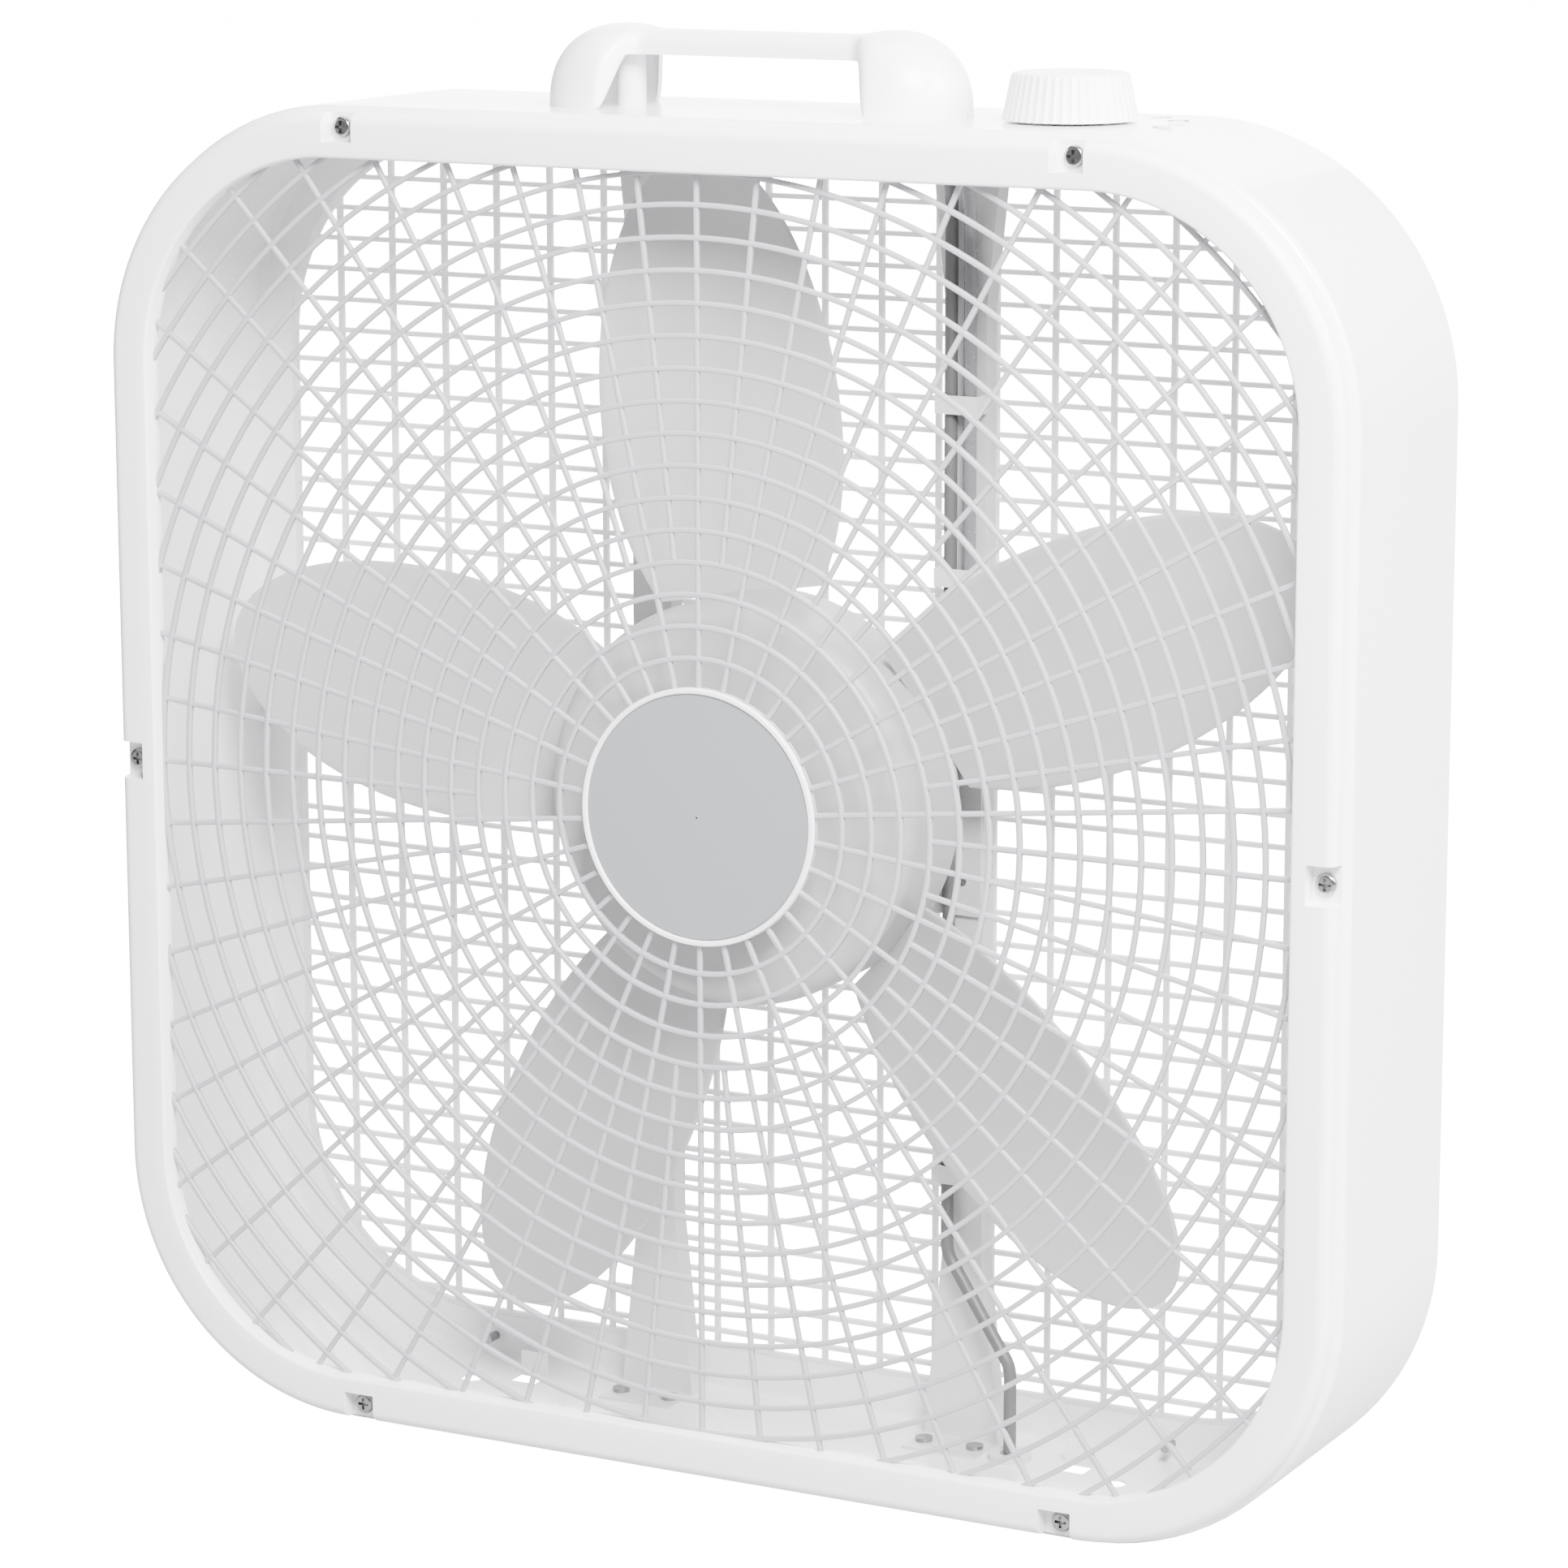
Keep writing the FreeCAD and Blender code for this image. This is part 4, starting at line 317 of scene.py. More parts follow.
def surface(name, colour, roughness, groups, metallic=0.0, coat=0.0, grain=(900.0, 0.1), waves=(14.0, 0.05),
            drift=0.04, specks=0.03, translucent=0.0, spread=0.08):
    """A Principled material fed by the shared tone and grain groups."""
    grain_tree, tone_tree = groups
    material = bpy.data.materials.new(name)
    material.use_nodes = True
    nodes, links = material.node_tree.nodes, material.node_tree.links
    shader = nodes["Principled BSDF"]
    shader.inputs["Metallic"].default_value = metallic
    shader.inputs["Coat Weight"].default_value = coat
    shader.inputs["Coat Roughness"].default_value = 0.08
    tone = nodes.new("ShaderNodeGroup")
    tone.node_tree = tone_tree
    tone.inputs["Base"].default_value = (*colour, 1.0)
    tone.inputs["Drift"].default_value = drift
    tone.inputs["Specks"].default_value = specks
    fine = nodes.new("ShaderNodeGroup")
    fine.node_tree = grain_tree
    fine.inputs["Scale"].default_value, fine.inputs["Strength"].default_value = grain
    fine.inputs["Waves"].default_value, fine.inputs["Wave Strength"].default_value = waves
    rough = nodes.new("ShaderNodeMapRange")
    rough.inputs["To Min"].default_value = max(roughness - spread, 0.02)
    rough.inputs["To Max"].default_value = roughness + spread
    links.new(fine.outputs["Mask"], rough.inputs["Value"])
    links.new(rough.outputs["Result"], shader.inputs["Roughness"])
    links.new(tone.outputs["Color"], shader.inputs["Base Color"])
    links.new(fine.outputs["Normal"], shader.inputs["Normal"])
    if translucent:
        through = nodes.new("ShaderNodeBsdfTranslucent")
        links.new(tone.outputs["Color"], through.inputs["Color"])
        links.new(fine.outputs["Normal"], through.inputs["Normal"])
        mix = nodes.new("ShaderNodeMixShader")
        mix.inputs["Fac"].default_value = translucent
        links.new(shader.outputs["BSDF"], mix.inputs[1])
        links.new(through.outputs["BSDF"], mix.inputs[2])
        links.new(mix.outputs["Shader"], nodes["Material Output"].inputs["Surface"])
    return material


SURFACES = {
    "wrapper_paint": dict(colour=(0.84, 0.84, 0.85), roughness=0.28, coat=0.4, grain=(1400.0, 0.06),
                          waves=(10.0, 0.06), drift=0.02, specks=0.02),
    "grille_plastic": dict(colour=(0.84, 0.84, 0.86), roughness=0.38, grain=(1200.0, 0.1), drift=0.03),
    # A paler, translucent copy of the grille plastic. The paler colour is painted light, so that the backlit
    # rear bars read bright.
    "rear_plastic": dict(colour=(0.88, 0.88, 0.89), roughness=0.4, grain=(1200.0, 0.1), drift=0.02,
                         translucent=0.5),
    # rib_plastic is the grille's own white plastic made darker. The darkness is painted shade on the thin
    # ribs, not the plastic's colour.
    "rib_plastic": dict(colour=(0.34, 0.33, 0.355), roughness=0.34, grain=(1200.0, 0.1), drift=0.03),
    "badge_grey": dict(colour=(0.21, 0.215, 0.23), roughness=0.5, grain=(1600.0, 0.25), drift=0.03,
                       specks=0.02),
    # blade_plastic is translucent white plastic made darker. The darkness is painted shade from the front
    # grille's ribs falling on the blades.
    "blade_plastic": dict(colour=(0.62, 0.615, 0.625), roughness=0.34, grain=(900.0, 0.05),
                          waves=(18.0, 0.05), drift=0.04, translucent=0.3),
    "handle_plastic": dict(colour=(0.82, 0.82, 0.84), roughness=0.34, grain=(1100.0, 0.1), drift=0.03),
    "knob_plastic": dict(colour=(0.84, 0.84, 0.85), roughness=0.36, grain=(1200.0, 0.1), drift=0.03),
    "numeral_grey": dict(colour=(0.04, 0.04, 0.045), roughness=0.45, grain=(1400.0, 0.1)),
    "screw_chrome": dict(colour=(0.30, 0.30, 0.30), roughness=0.22, metallic=1.0, grain=(2500.0, 0.15)),
    "bright_steel": dict(colour=(0.55, 0.55, 0.56), roughness=0.26, metallic=1.0, grain=(2600.0, 0.2)),
    "core_steel": dict(colour=(0.22, 0.22, 0.23), roughness=0.45, metallic=1.0, grain=(3000.0, 0.4)),
    "motor_metal": dict(colour=(0.60, 0.60, 0.61), roughness=0.5, metallic=1.0, grain=(1500.0, 0.5)),
    "bearing_bronze": dict(colour=(0.5, 0.32, 0.15), roughness=0.4, metallic=1.0, grain=(3000.0, 0.5)),
    "winding_copper": dict(colour=(0.35, 0.12, 0.05), roughness=0.3, grain=(1500.0, 0.8)),
    "washer_fibre": dict(colour=(0.25, 0.08, 0.05), roughness=0.7, grain=(2500.0, 0.6)),
    "zinc_sheet": dict(colour=(0.66, 0.66, 0.66), roughness=0.42, metallic=0.25, grain=(700.0, 0.12),
                       waves=(22.0, 0.06), drift=0.12),
    "switch_plastic": dict(colour=(0.70, 0.70, 0.69), roughness=0.5, grain=(1200.0, 0.3)),
    "lead_sheath": dict(colour=(0.10, 0.10, 0.10), roughness=0.45, grain=(1200.0, 0.2)),
    "lead_sleeve": dict(colour=(0.16, 0.16, 0.17), roughness=0.25, coat=0.6, grain=(300.0, 0.6)),
    "clip_plastic": dict(colour=(0.72, 0.72, 0.71), roughness=0.45, grain=(1200.0, 0.2)),
    "capacitor_case": dict(colour=(0.30, 0.30, 0.31), roughness=0.35, grain=(1200.0, 0.2)),
    "bush_black": dict(colour=(0.60, 0.60, 0.59), roughness=0.55, grain=(1200.0, 0.3)),
}


# Pieces from the design that take another surface than their slot's. The rear grille takes a paler copy of
# the grille plastic, and its paleness is painted light on the backlit bars.
OWN_SURFACE = {"rear_grille": "rear_plastic"}


def material_for(slot):
    """The material of a slot, made on first use."""
    if slot in bpy.data.materials:
        return bpy.data.materials[slot]
    groups = tuple(bpy.data.node_groups.get(name) or make()
                   for name, make in (("fine_grain", grain_group), ("tone_drift", tone_group)))
    return surface(slot, groups=groups, **SURFACES[slot])


# ---------------------------------------------------------------- pieces

class BOXFAN_OT_frame_finish(bpy.types.Operator):
    """Give every piece from the design its material."""
    bl_idname = "boxfan.frame_finish"
    bl_label = "Finish the designed pieces"

    def execute(self, context):
        slots = {entry["node"]: entry["material_slot"] for entry in frame["record"]["subparts"]}
        for plain in [item for item in bpy.data.materials if item.name in SURFACES]:
            bpy.data.materials.remove(plain)
        for name, item in frame["nodes"].items():
            material = material_for(OWN_SURFACE.get(name, slots[name]))
            if not item.data.materials:
                item.data.materials.append(material)
            for number in range(len(item.data.materials)):
                item.data.materials[number] = material
        return {"FINISHED"}


class BOXFAN_OT_front_grille(bpy.types.Operator):
    """Rim with screw pockets, ring ribs and spoke ribs."""
    bl_idname = "boxfan.front_grille"
    bl_label = "Front grille"

    def rim(self, given):
        """The rim's section carried round the frame; inside a pocket its face drops to the pocket's floor."""
        front, back, width = given.rim_front, given.band_front, given.rim_width
        outer_bend = np.linspace(0, math.pi / 2, 9)
        inner_bend = np.linspace(0, math.pi / 2, 5)
        big, small = 4.5 * MM, 1.3 * MM
        reach = given.pocket_depth
        inward = np.concatenate([[0.0], big - big * np.cos(outer_bend), [reach - 1e-5, reach + 1e-5],
                                 width - small + small * np.sin(inner_bend), [width, width - 1 * MM, 1 * MM]])
        depth = np.concatenate([[back], front + big - big * np.sin(outer_bend), [front, front],
                                front + small - small * np.cos(inner_bend), [back, back, back]])
        floor = back - 1.4 * MM
        sunk = np.where((inward < reach) & (depth < floor), floor, depth)
        edge = given.pocket_width / 2
        straight = given.rim_half - given.rim_corner
        plain = np.linspace(-straight, straight, 13)[:-1]
        cuts = {0: [0.0], 1: [-given.screw_side, given.screw_side]}
        spots, normals, weights = [], [], []
        for quarter in range(4):
            pockets = cuts[quarter % 2]
            places = [plain[np.all([np.abs(plain - p) > edge + 0.5 * MM for p in pockets], axis=0)]]
            shares = [np.zeros(len(places[0]))]
            for p in pockets:
                low, high = max(p - edge, 5e-4 - straight), min(p + edge, straight - 5e-4)
                places.append(np.array([low - 4e-4, low, high, high + 4e-4]))
                shares.append(np.array([0.0, 1.0, 1.0, 0.0]))
            places, shares = np.concatenate(places), np.concatenate(shares)
            order = np.argsort(places)
            angle = quarter * math.pi / 2
            out = np.array([math.cos(angle), math.sin(angle)])
            along = np.array([-out[1], out[0]])
            spots.append(out * given.rim_half + places[order, None] * along)
            normals.append(np.broadcast_to(out, (len(places), 2)))
            weights.append(shares[order])
            bend = angle + np.linspace(0, math.pi / 2, 33)
            rays = np.stack([np.cos(bend), np.sin(bend)], axis=-1)
            spots.append((out + along) * straight + rays * given.rim_corner)
            normals.append(rays)
            weights.append(np.zeros(len(bend)))
        spots, normals, weights = map(np.concatenate, (spots, normals, weights))
        flat = spots[:, None] - normals[:, None] * inward[None, :, None]
        y = depth[None] * (1 - weights[:, None]) + sunk[None] * weights[:, None]
        return np.stack([flat[..., 0], y, flat[..., 1] + given.centre_z], axis=-1), True, True

    def ribs(self, given):
        """Ring ribs as turned sections, and spokes as straight ones; both stop inside the rim."""
        half = given.rim_half - given.rim_width
        corner = given.rim_corner - given.rim_width
        tuck = 1.2 * MM
        section = rounded_profile(given.rib_width, given.rib_depth, 0.55 * MM)
        section_y = given.rib_front + given.rib_depth / 2 + section[:, 1]
        patches = []
        ring = given.badge_rings
        while True:
            radius = ring * given.ring_pitch
            profile = np.stack([radius + section[:, 0], section_y], axis=-1)
            if radius < half - given.rib_width:
                patches.append(turned(profile, np.linspace(0, FULL, 257)[:-1], given.centre_z))
            else:
                first = np.linspace(0, math.pi / 4, 800)
                inside = depth_inside(radius * np.cos(first), radius * np.sin(first), half, corner) > -tuck
                if not inside.any():
                    break
                start = first[np.argmax(inside)]
                for quarter in range(4):
                    sweep = np.linspace(start, math.pi / 2 - start, 60) + quarter * math.pi / 2
                    patches.append(turned(profile, sweep, given.centre_z, wrap=False))
            ring += 1
        thin = rounded_profile(given.rib_width, given.rib_depth - 0.3 * MM, 0.55 * MM)
        thin_y = given.rib_front + given.rib_depth / 2 + thin[:, 1] + 0.05 * MM
        for ray in range(2 * given.spokes):
            full = ray % 2 == 0
            start = (given.badge_rings if full else given.short_rings) * given.ring_pitch
            angle = math.pi / 2 + ray * math.pi / given.spokes
            out = np.array([math.cos(angle), math.sin(angle)])
            reach = np.linspace(start, 0.32, 2600)
            inside = depth_inside(reach * out[0], reach * out[1], half, corner) > -tuck
            stop = reach[inside][-1]
            ends = np.array([start, stop])[:, None] * out
            flat = ends[:, None] + thin[None, :, :1] * np.array([-out[1], out[0]])
            y = np.broadcast_to(thin_y, flat.shape[:2])
            patches.append((np.stack([flat[..., 0], y, flat[..., 1] + given.centre_z], axis=-1), False, True))
        return patches

    def execute(self, context):
        given = context.scene.boxfan_frame
        seat = given.badge_rings * given.ring_pitch + given.rib_width / 2
        front = given.rib_front
        ring = np.array([(seat, front + 2.4 * MM), (seat, front - 1.1 * MM),
                         (seat - 0.4 * MM, front - 1.6 * MM), (seat - 1.6 * MM, front - 1.6 * MM),
                         (seat - 2.1 * MM, front - 1.1 * MM), (seat - 2.1 * MM, front + 0.1 * MM),
                         (0.4 * MM, front + 0.1 * MM), (0.4 * MM, front + 2.4 * MM)])
        seat_ring = turned(ring, np.linspace(0, FULL, 129)[:-1], given.centre_z)
        piece("front_grille_rim", [self.rim(given), seat_ring], material_for("grille_plastic"), "housing",
              ("front_grille",))
        # The ribs take rib_plastic. Its darker colour is painted shade on the same white plastic as the rim.
        item = piece("front_grille_ribs", self.ribs(given), material_for("rib_plastic"), "housing",
                     ("front_grille",))
        return {"FINISHED"}


class BOXFAN_OT_badge(bpy.types.Operator):
    """Slightly crowned disc with a bevelled edge."""
    bl_idname = "boxfan.badge"
    bl_label = "Badge"

    def execute(self, context):
        given = context.scene.boxfan_frame
        radius = given.badge_rings * given.ring_pitch + given.rib_width / 2 - 2.25 * MM
        share = np.linspace(0.01, 1, 14)[:-1]
        front = given.rib_front
        crown = front - 1.15 * MM + 0.25 * MM * share ** 2
        face = np.stack([share * (radius - 0.8 * MM), crown], axis=-1)
        edge = np.array([(radius - 0.5 * MM, front - 0.85 * MM), (radius, front - 0.4 * MM), (radius, front),
                         (0.5 * MM, front)])
        disc = turned(np.concatenate([face, edge]), np.linspace(0, FULL, 129)[:-1], given.centre_z)
        piece("badge_disc", [disc], material_for("badge_grey"), "housing", ("badge",))
        return {"FINISHED"}


class BOXFAN_OT_impeller(bpy.types.Operator):
    """Hub shell with a rounded nose, and five twisted petal blades."""
    bl_idname = "boxfan.impeller"
    bl_label = "Impeller"

    def blade(self, given, number, centre_z):
        """Closed sections across the blade at growing radius.

        Their width follows two half-ellipses that meet at the belly, and their angle changes linearly.
        """
        inner = given.hub_radius - 1.2 * MM
        root = (given.belly - given.hub_radius) * 1.38
        share = np.linspace(0, 1, 60)
        radius = np.concatenate([inner + (given.belly - inner) * share[:-1],
                                 given.belly + (given.tip - given.belly) * np.sin(share * math.pi / 2)])
        low = np.sqrt(1 - np.clip((given.belly - radius) / root, 0, 1) ** 2)
        high = np.sqrt(1 - np.clip((radius - given.belly) / (given.tip - given.belly), 0, 1) ** 2)
        width = np.maximum(given.half_width * np.where(radius < given.belly, low, high), 0.05 * MM)
        loop = np.linspace(0, FULL, 57)[:-1]
        offset = np.cos(loop)[None] * width[:, None]
        edge = np.minimum(given.thickness * 0.75, width)[:, None]
        near = np.clip((np.abs(offset) - (width[:, None] - edge)) / edge, 0, 1)
        face = np.sign(np.sin(loop) + 1e-9)[None]
        half = given.thickness / 2 * np.sqrt(np.clip(1 - near ** 2, 0, 1)) * face
        half = half * np.minimum(1, (width / (3 * MM)))[:, None]
        bulge = given.camber * (1 - (offset / (given.half_width * 1.24)) ** 2)
        span = (radius - given.hub_radius + 2.2 * MM) / (given.tip + 4 * MM - given.hub_radius + 2.2 * MM)
        angle = (given.pitch_root + span * (given.pitch_tip - given.pitch_root))[:, None]
        lift = half + bulge
        x = offset * np.cos(angle) - lift * np.sin(angle)
        y = offset * np.sin(angle) + lift * np.cos(angle) + given.plane
        up = np.broadcast_to(radius[:, None], x.shape)
        turn = -given.turn - FULL / given.blades * number
        spun_x = x * math.cos(turn) + up * math.sin(turn)
        spun_z = up * math.cos(turn) - x * math.sin(turn)
        return np.stack([spun_x, y, spun_z + centre_z], axis=-1), False, True

    def execute(self, context):
        given = context.scene.boxfan_impeller
        centre_z = context.scene.boxfan_frame.centre_z
        radius, front, back = given.hub_radius, given.hub_front, given.hub_front + given.hub_length
        bend = np.linspace(0, math.pi / 2, 12)
        nose, wall = 7 * MM, 2.2 * MM
        outer = np.stack([radius - nose + nose * np.sin(bend), front + nose - nose * np.cos(bend)], axis=-1)
        inner = np.stack([radius - nose + (nose - wall) * np.sin(bend[::-1]),
                          front + nose - (nose - wall) * np.cos(bend[::-1])], axis=-1)
        boss = np.array([(9 * MM, front + wall), (9 * MM, front + 14.2 * MM), (4.1 * MM, front + 14.2 * MM),
                         (4.1 * MM, front + wall), (0.3 * MM, front + wall)])
        profile = np.concatenate([[(0.3 * MM, front), (radius * 0.5, front)], outer,
                                  [(radius, back - 0.4 * MM), (radius - 0.4 * MM, back),
                                   (radius - wall + 0.3 * MM, back)], inner, boss])
        hub = turned(profile, np.linspace(0, FULL, 193)[:-1], centre_z)
        blades = [self.blade(given, number, centre_z) for number in range(given.blades)]
        # The blades take blade_plastic, whose darker colour is painted shade from the grille.
        piece("impeller_moulding", [hub] + blades, material_for("blade_plastic"), "spinner", ("impeller",))
        return {"FINISHED"}


def smooth(value, low, high):
    """0 below low, 1 above high, and 3t^2 - 2t^3 between."""
    share = np.clip((value - low) / (high - low), 0, 1)
    return share * share * (3 - 2 * share)


class BOXFAN_OT_handle(bpy.types.Operator):
    """Handle whose closed grip opens out into a hollow half-dome at each end, with a screw post in each."""
    bl_idname = "boxfan.handle"
    bl_label = "Handle"

    def shell(self, given):
        """A section across the handle at each x: an outer arch and back along an inner one.

        An arch point at angle a has y = w cos(a)^p and z = low + (top - low) sin(a)^p; p < 1 is fuller.
        """
        half, start = given.handle_half, given.end_start
        far = start + (half - start) * np.sin(np.linspace(0, math.pi / 2, 34))
        near = np.linspace(0, start, 64)
        side = np.concatenate([near[:-1], far])
        side[-1] = half - 0.02 * MM
        x = np.concatenate([-side[::-1], side[1:]])
        place = np.abs(x)
        beyond = np.clip((place - start) / (half - start), 0, 1)
        taper = (1 - beyond ** 2.15) ** (1 / 2.15)
        spread = smooth(place, start - 15 * MM, start) ** 1.5
        width = (given.grip_depth + (given.end_depth - given.grip_depth) * spread) * taper
        rise = smooth(place, start - 17 * MM, start - 1 * MM)
        top = (given.grip_top + (given.end_rise - given.grip_top) * rise) * taper
        low = given.grip_low * (1 - smooth(place, start - 8 * MM, start) ** 0.8)
        inner_width = np.maximum(width - given.handle_wall, 0.1 * MM)
        hollow = smooth(place, start - 13 * MM, start - 2 * MM)
        under = (top - given.handle_wall * 0.9) * hollow + given.grip_low * (1 - hollow)
        ceiling = np.maximum(low + 0.25 * MM, under)
        ceiling = np.minimum(ceiling, top - 0.02 * MM)
        angle = np.linspace(0, math.pi, 44)
        cos, sin = np.cos(angle), np.sin(angle)
        fullness = (0.62 + 0.16 * spread)[:, None]
        arch_y = np.sign(cos) * np.abs(cos) ** fullness
        arch_z = sin[None] ** fullness
        base = low[:, None]
        outer = np.stack([arch_y * width[:, None], base + arch_z * (top - low)[:, None]], axis=-1)
        inner = np.stack([arch_y * inner_width[:, None], base + arch_z * (ceiling - low)[:, None]], axis=-1)
        loop = np.concatenate([outer, inner[:, ::-1]], axis=1)
        across = np.broadcast_to(x[:, None], loop.shape[:2])
        return np.stack([across, loop[..., 0], loop[..., 1] + given.roof], axis=-1), False, True

    def execute(self, context):
        given = context.scene.boxfan_fittings
        patches = [self.shell(given)]
        turn = np.linspace(0, FULL, 41)[:-1]
        height = np.array([0.0, 0.0, given.end_rise - 3 * MM, given.end_rise - 3 * MM])
        for side in (-1, 1):
            radius = np.array([2 * MM, given.post_radius, given.post_radius, 2 * MM])
            x = side * given.post_side + np.cos(turn)[:, None] * radius
            y = np.sin(turn)[:, None] * radius
            z = np.broadcast_to(height + given.roof, x.shape)
            patches.append((np.stack([x, y, z], axis=-1), True, True))
        piece("handle_moulding", patches, material_for("handle_plastic"), "housing", ("handle",), sharp=50)
        return {"FINISHED"}


class BOXFAN_OT_knob(bpy.types.Operator):
    """Fluted, slightly tapered knob with a dished top, and generic numerals beside it."""
    bl_idname = "boxfan.knob"
    bl_label = "Knob and numerals"

    def execute(self, context):
        given = context.scene.boxfan_fittings
        base, crown, tall = given.knob_base, given.knob_crown, given.knob_height
        bend = np.linspace(0, math.pi / 2, 9)
        rise = np.linspace(0, 1, 14)
        round_edge = 2.2 * MM
        wall_r = base + (crown + 0.5 * MM - base) * rise
        wall_z = (tall - round_edge) * rise
        edge_r = crown + 0.5 * MM - round_edge + round_edge * np.cos(bend)
        edge_z = tall - round_edge + round_edge * np.sin(bend)
        dish = np.linspace(1, 0.02, 16)[1:]
        dish_r = (crown - 2 * MM) * dish
        dish_z = tall - 1.3 * MM * (1 - dish ** 2.5) ** 2
        low = np.array([(0.6 * MM, tall - 3 * MM), (base - 4 * MM, tall - 4 * MM), (base - 1.8 * MM, 0.0)])
        radius = np.concatenate([wall_r, edge_r[1:], dish_r, low[:, 0]])
        height = np.concatenate([wall_z, edge_z[1:], dish_z, low[:, 1]])
        depth = np.concatenate([np.full(len(wall_r), 0.62 * MM), 0.62 * MM * np.cos(bend[1:]) ** 2,
                                np.zeros(len(dish_r) + 3)])
        turn = np.linspace(0, FULL, given.flutes * 12 + 1)[:-1]
        groove = np.maximum(np.cos(turn * given.flutes), -0.35) * 0.5 - 0.5
        r = radius[None] + groove[:, None] * depth[None]
        x = given.knob_x + np.cos(turn)[:, None] * r
        y = np.sin(turn)[:, None] * r
        z = np.broadcast_to(height + given.roof + given.knob_lift, x.shape)
        patch = np.stack([x, y, z], axis=-1), True, True
        piece("knob_moulding", [patch], material_for("knob_plastic"), "dial", ("knob",), sharp=55)
        self.numerals(given)
        return {"FINISHED"}

    def numerals(self, given):
        """Flat numerals 0 to 3 on the roof, each upright as read from the knob's middle outwards."""
        points, faces = [], []
        for number in range(4):
            curve = bpy.data.curves.new("numeral", "FONT")
            curve.body = str(number)
            curve.size = 11 * MM
            curve.offset = 0.35 * MM
            curve.align_x, curve.align_y = "CENTER", "CENTER"
            text = bpy.data.objects.new("numeral", curve)
            bpy.context.scene.collection.objects.link(text)
            bpy.context.view_layer.update()
            mesh = text.evaluated_get(bpy.context.evaluated_depsgraph_get()).to_mesh()
            flat = np.array([vertex.co[:2] for vertex in mesh.vertices])
            shift = sum(map(len, points))
            polygons = [[corner + shift for corner in polygon.vertices] for polygon in mesh.polygons]
            angle = math.radians(-10) + number * given.mark_step
            out = np.array([math.cos(angle), math.sin(angle)])
            along = np.array([out[1], -out[0]])
            spot = out * given.mark_radius + flat[:, :1] * along + flat[:, 1:] * out
            height = np.full((len(flat), 1), given.roof + 0.06 * MM)
            points.append(np.concatenate([spot + [given.knob_x, 0.0], height], axis=1))
            faces.extend(polygons)
            bpy.data.objects.remove(text)
        mesh = bpy.data.meshes.new("numerals")
        mesh.from_pydata(np.concatenate(points).tolist(), [], faces)
        mesh.materials.append(material_for("numeral_grey"))
        item = bpy.data.objects.new("numerals", mesh)
        bpy.context.scene.collection.objects.link(item)
        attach(item, "housing")


# ---------------------------------------------------------------- stage

# Each lamp's place, the point that it faces, and the side of its square, in metres.
LAMPS = {
    "key": ((0.8, -0.9, 1.3), (0.1, 0, 0.4), 0.6),
    "side": ((2.6, 0.1, 1.7), (0.26, 0, 0.3), 1.2),
    "fill": ((-2.2, -3.2, 1.6), (0, 0, 0.26), 2.0),
    "back": ((-0.7, 1.7, 1.1), (0, 0, 0.26), 1.6),
    "top": ((-0.4, 0.2, 2.6), (0, 0, 0.26), 1.5),
}
SKY_COLOUR = (0.96, 0.97, 1.0, 1.0)
SKY_STRENGTH = 0.3
FLOOR_REACH = 60.0
FLOOR_COLOUR = (0.35, 0.35, 0.35, 1.0)
# The floor's glow as light on the fan, and as the camera sees it.
FLOOR_GLOW = (0.2, 16.0)


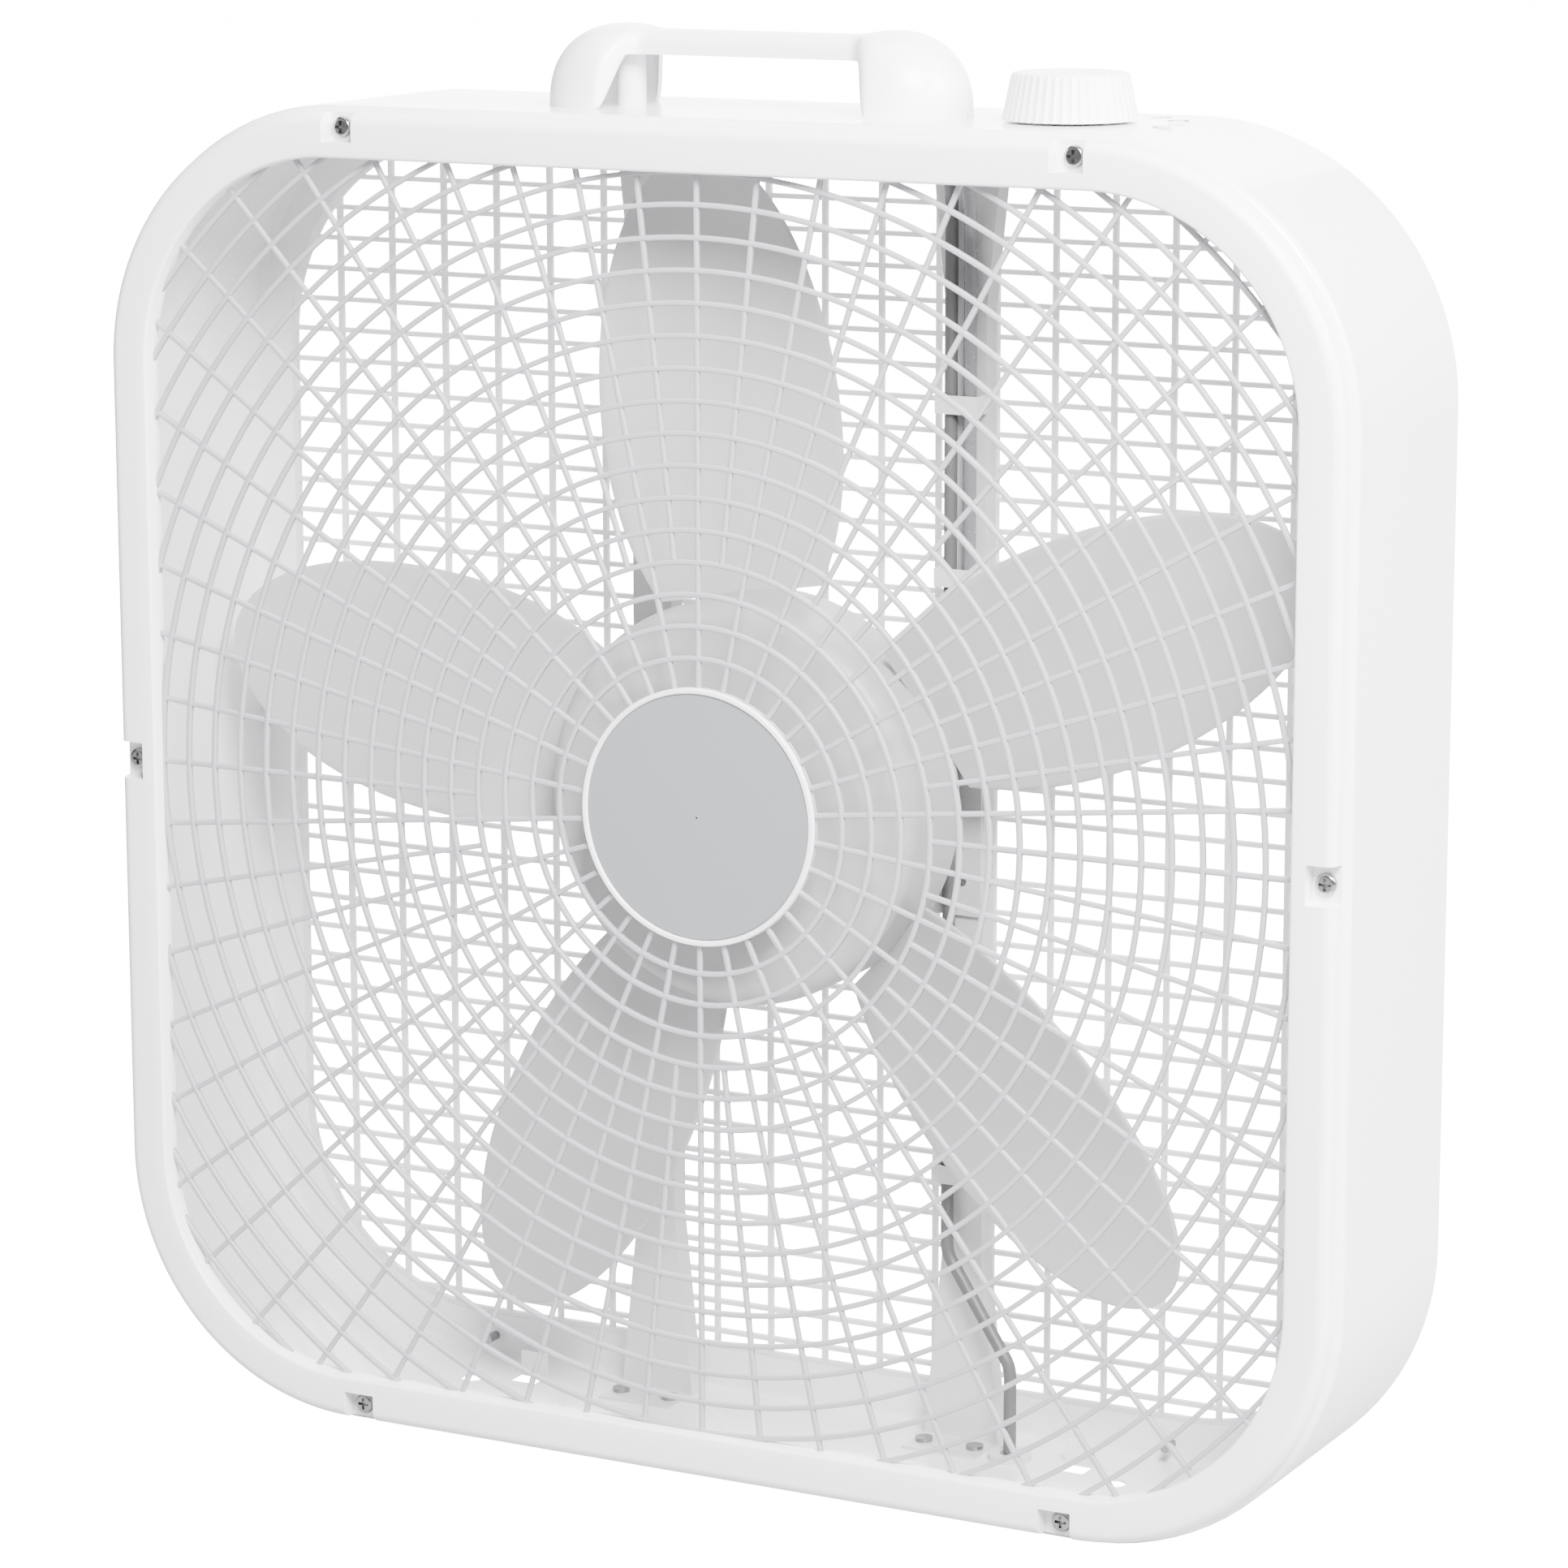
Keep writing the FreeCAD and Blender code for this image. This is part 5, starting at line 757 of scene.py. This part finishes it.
class BOXFAN_OT_stage(bpy.types.Operator):
    """Pale floor, soft studio light and the camera."""
    bl_idname = "boxfan.stage"
    bl_label = "Stage"

    def lamp(self, name, place, target, size, energy):
        """A square lamp of the given side at a place, turned to face the target."""
        data = bpy.data.lights.new(name, "AREA")
        data.shape = "RECTANGLE"
        data.size = data.size_y = size
        data.energy = energy
        item = bpy.data.objects.new(name, data)
        bpy.context.scene.collection.objects.link(item)
        item.location = place
        item.rotation_euler = (Vector(target) - Vector(place)).to_track_quat("-Z", "Y").to_euler()

    def execute(self, context):
        given = context.scene.boxfan_stage
        camera = bpy.data.objects.new("camera", bpy.data.cameras.new("camera"))
        context.scene.collection.objects.link(camera)
        camera.data.lens = given.lens
        camera.data.sensor_width = given.sensor
        camera.data.clip_end = 200.0
        camera.location = given.place
        camera.rotation_mode = "XYZ"
        camera.rotation_euler = (math.pi / 2 - given.pitch, given.roll, given.yaw)
        context.scene.camera = camera

        world = bpy.data.worlds.new("studio")
        context.scene.world = world
        world.use_nodes = True
        world.node_tree.nodes["Background"].inputs["Color"].default_value = SKY_COLOUR
        world.node_tree.nodes["Background"].inputs["Strength"].default_value = SKY_STRENGTH

        for name, (place, target, size) in LAMPS.items():
            self.lamp(name, place, target, size, getattr(given, name))

        floor_mesh = bpy.data.meshes.new("floor")
        reach = FLOOR_REACH
        corners = [(-reach, -reach, 0), (reach, -reach, 0), (reach, reach, 0), (-reach, reach, 0)]
        floor_mesh.from_pydata(corners, [], [(0, 1, 2, 3)])
        floor = bpy.data.objects.new("floor", floor_mesh)
        context.scene.collection.objects.link(floor)
        pale = bpy.data.materials.new("floor_white")
        pale.use_nodes = True
        shader = pale.node_tree.nodes["Principled BSDF"]
        shader.inputs["Base Color"].default_value = FLOOR_COLOUR
        shader.inputs["Roughness"].default_value = 0.6
        shader.inputs["Emission Color"].default_value = (1.0, 1.0, 1.0, 1.0)
        glow = pale.node_tree.nodes.new("ShaderNodeMapRange")
        glow.inputs["To Min"].default_value, glow.inputs["To Max"].default_value = FLOOR_GLOW
        path = pale.node_tree.nodes.new("ShaderNodeLightPath")
        pale.node_tree.links.new(path.outputs["Is Camera Ray"], glow.inputs["Value"])
        pale.node_tree.links.new(glow.outputs["Result"], shader.inputs["Emission Strength"])
        floor_mesh.materials.append(pale)
        return {"FINISHED"}


class BOXFAN_PT_panel(bpy.types.Panel):
    """Buttons and sizes of the box fan."""
    bl_idname = "BOXFAN_PT_panel"
    bl_label = "Box fan"
    bl_space_type = "VIEW_3D"
    bl_region_type = "UI"
    bl_category = "Box fan"

    def draw(self, context):
        for operator in OPERATORS:
            self.layout.operator(operator.bl_idname)
        for owner, kind in GROUPS.items():
            box = self.layout.box()
            for name in kind.__annotations__:
                box.prop(getattr(context.scene, owner), name)


OPERATORS = (BOXFAN_OT_frame_finish, BOXFAN_OT_front_grille, BOXFAN_OT_badge, BOXFAN_OT_impeller,
             BOXFAN_OT_handle, BOXFAN_OT_knob, BOXFAN_OT_stage)
GROUPS = {"boxfan_frame": FrameSettings, "boxfan_impeller": ImpellerSettings,
          "boxfan_fittings": FittingSettings, "boxfan_stage": StageSettings}


def register():
    for item in (*GROUPS.values(), *OPERATORS, BOXFAN_PT_panel):
        bpy.utils.register_class(item)
    for name, group in GROUPS.items():
        setattr(bpy.types.Scene, name, PointerProperty(type=group))


def unregister():
    for name in GROUPS:
        delattr(bpy.types.Scene, name)
    for item in (BOXFAN_PT_panel, *OPERATORS[::-1], *list(GROUPS.values())[::-1]):
        bpy.utils.unregister_class(item)


def main():
    register()
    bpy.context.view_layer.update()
    for operator in OPERATORS:
        family, name = operator.bl_idname.split(".")
        result = getattr(getattr(bpy.ops, family), name)()
        if result != {"FINISHED"}:
            raise RuntimeError(f"{operator.bl_idname}: {result}")


if __name__ == "__main__":
    main()
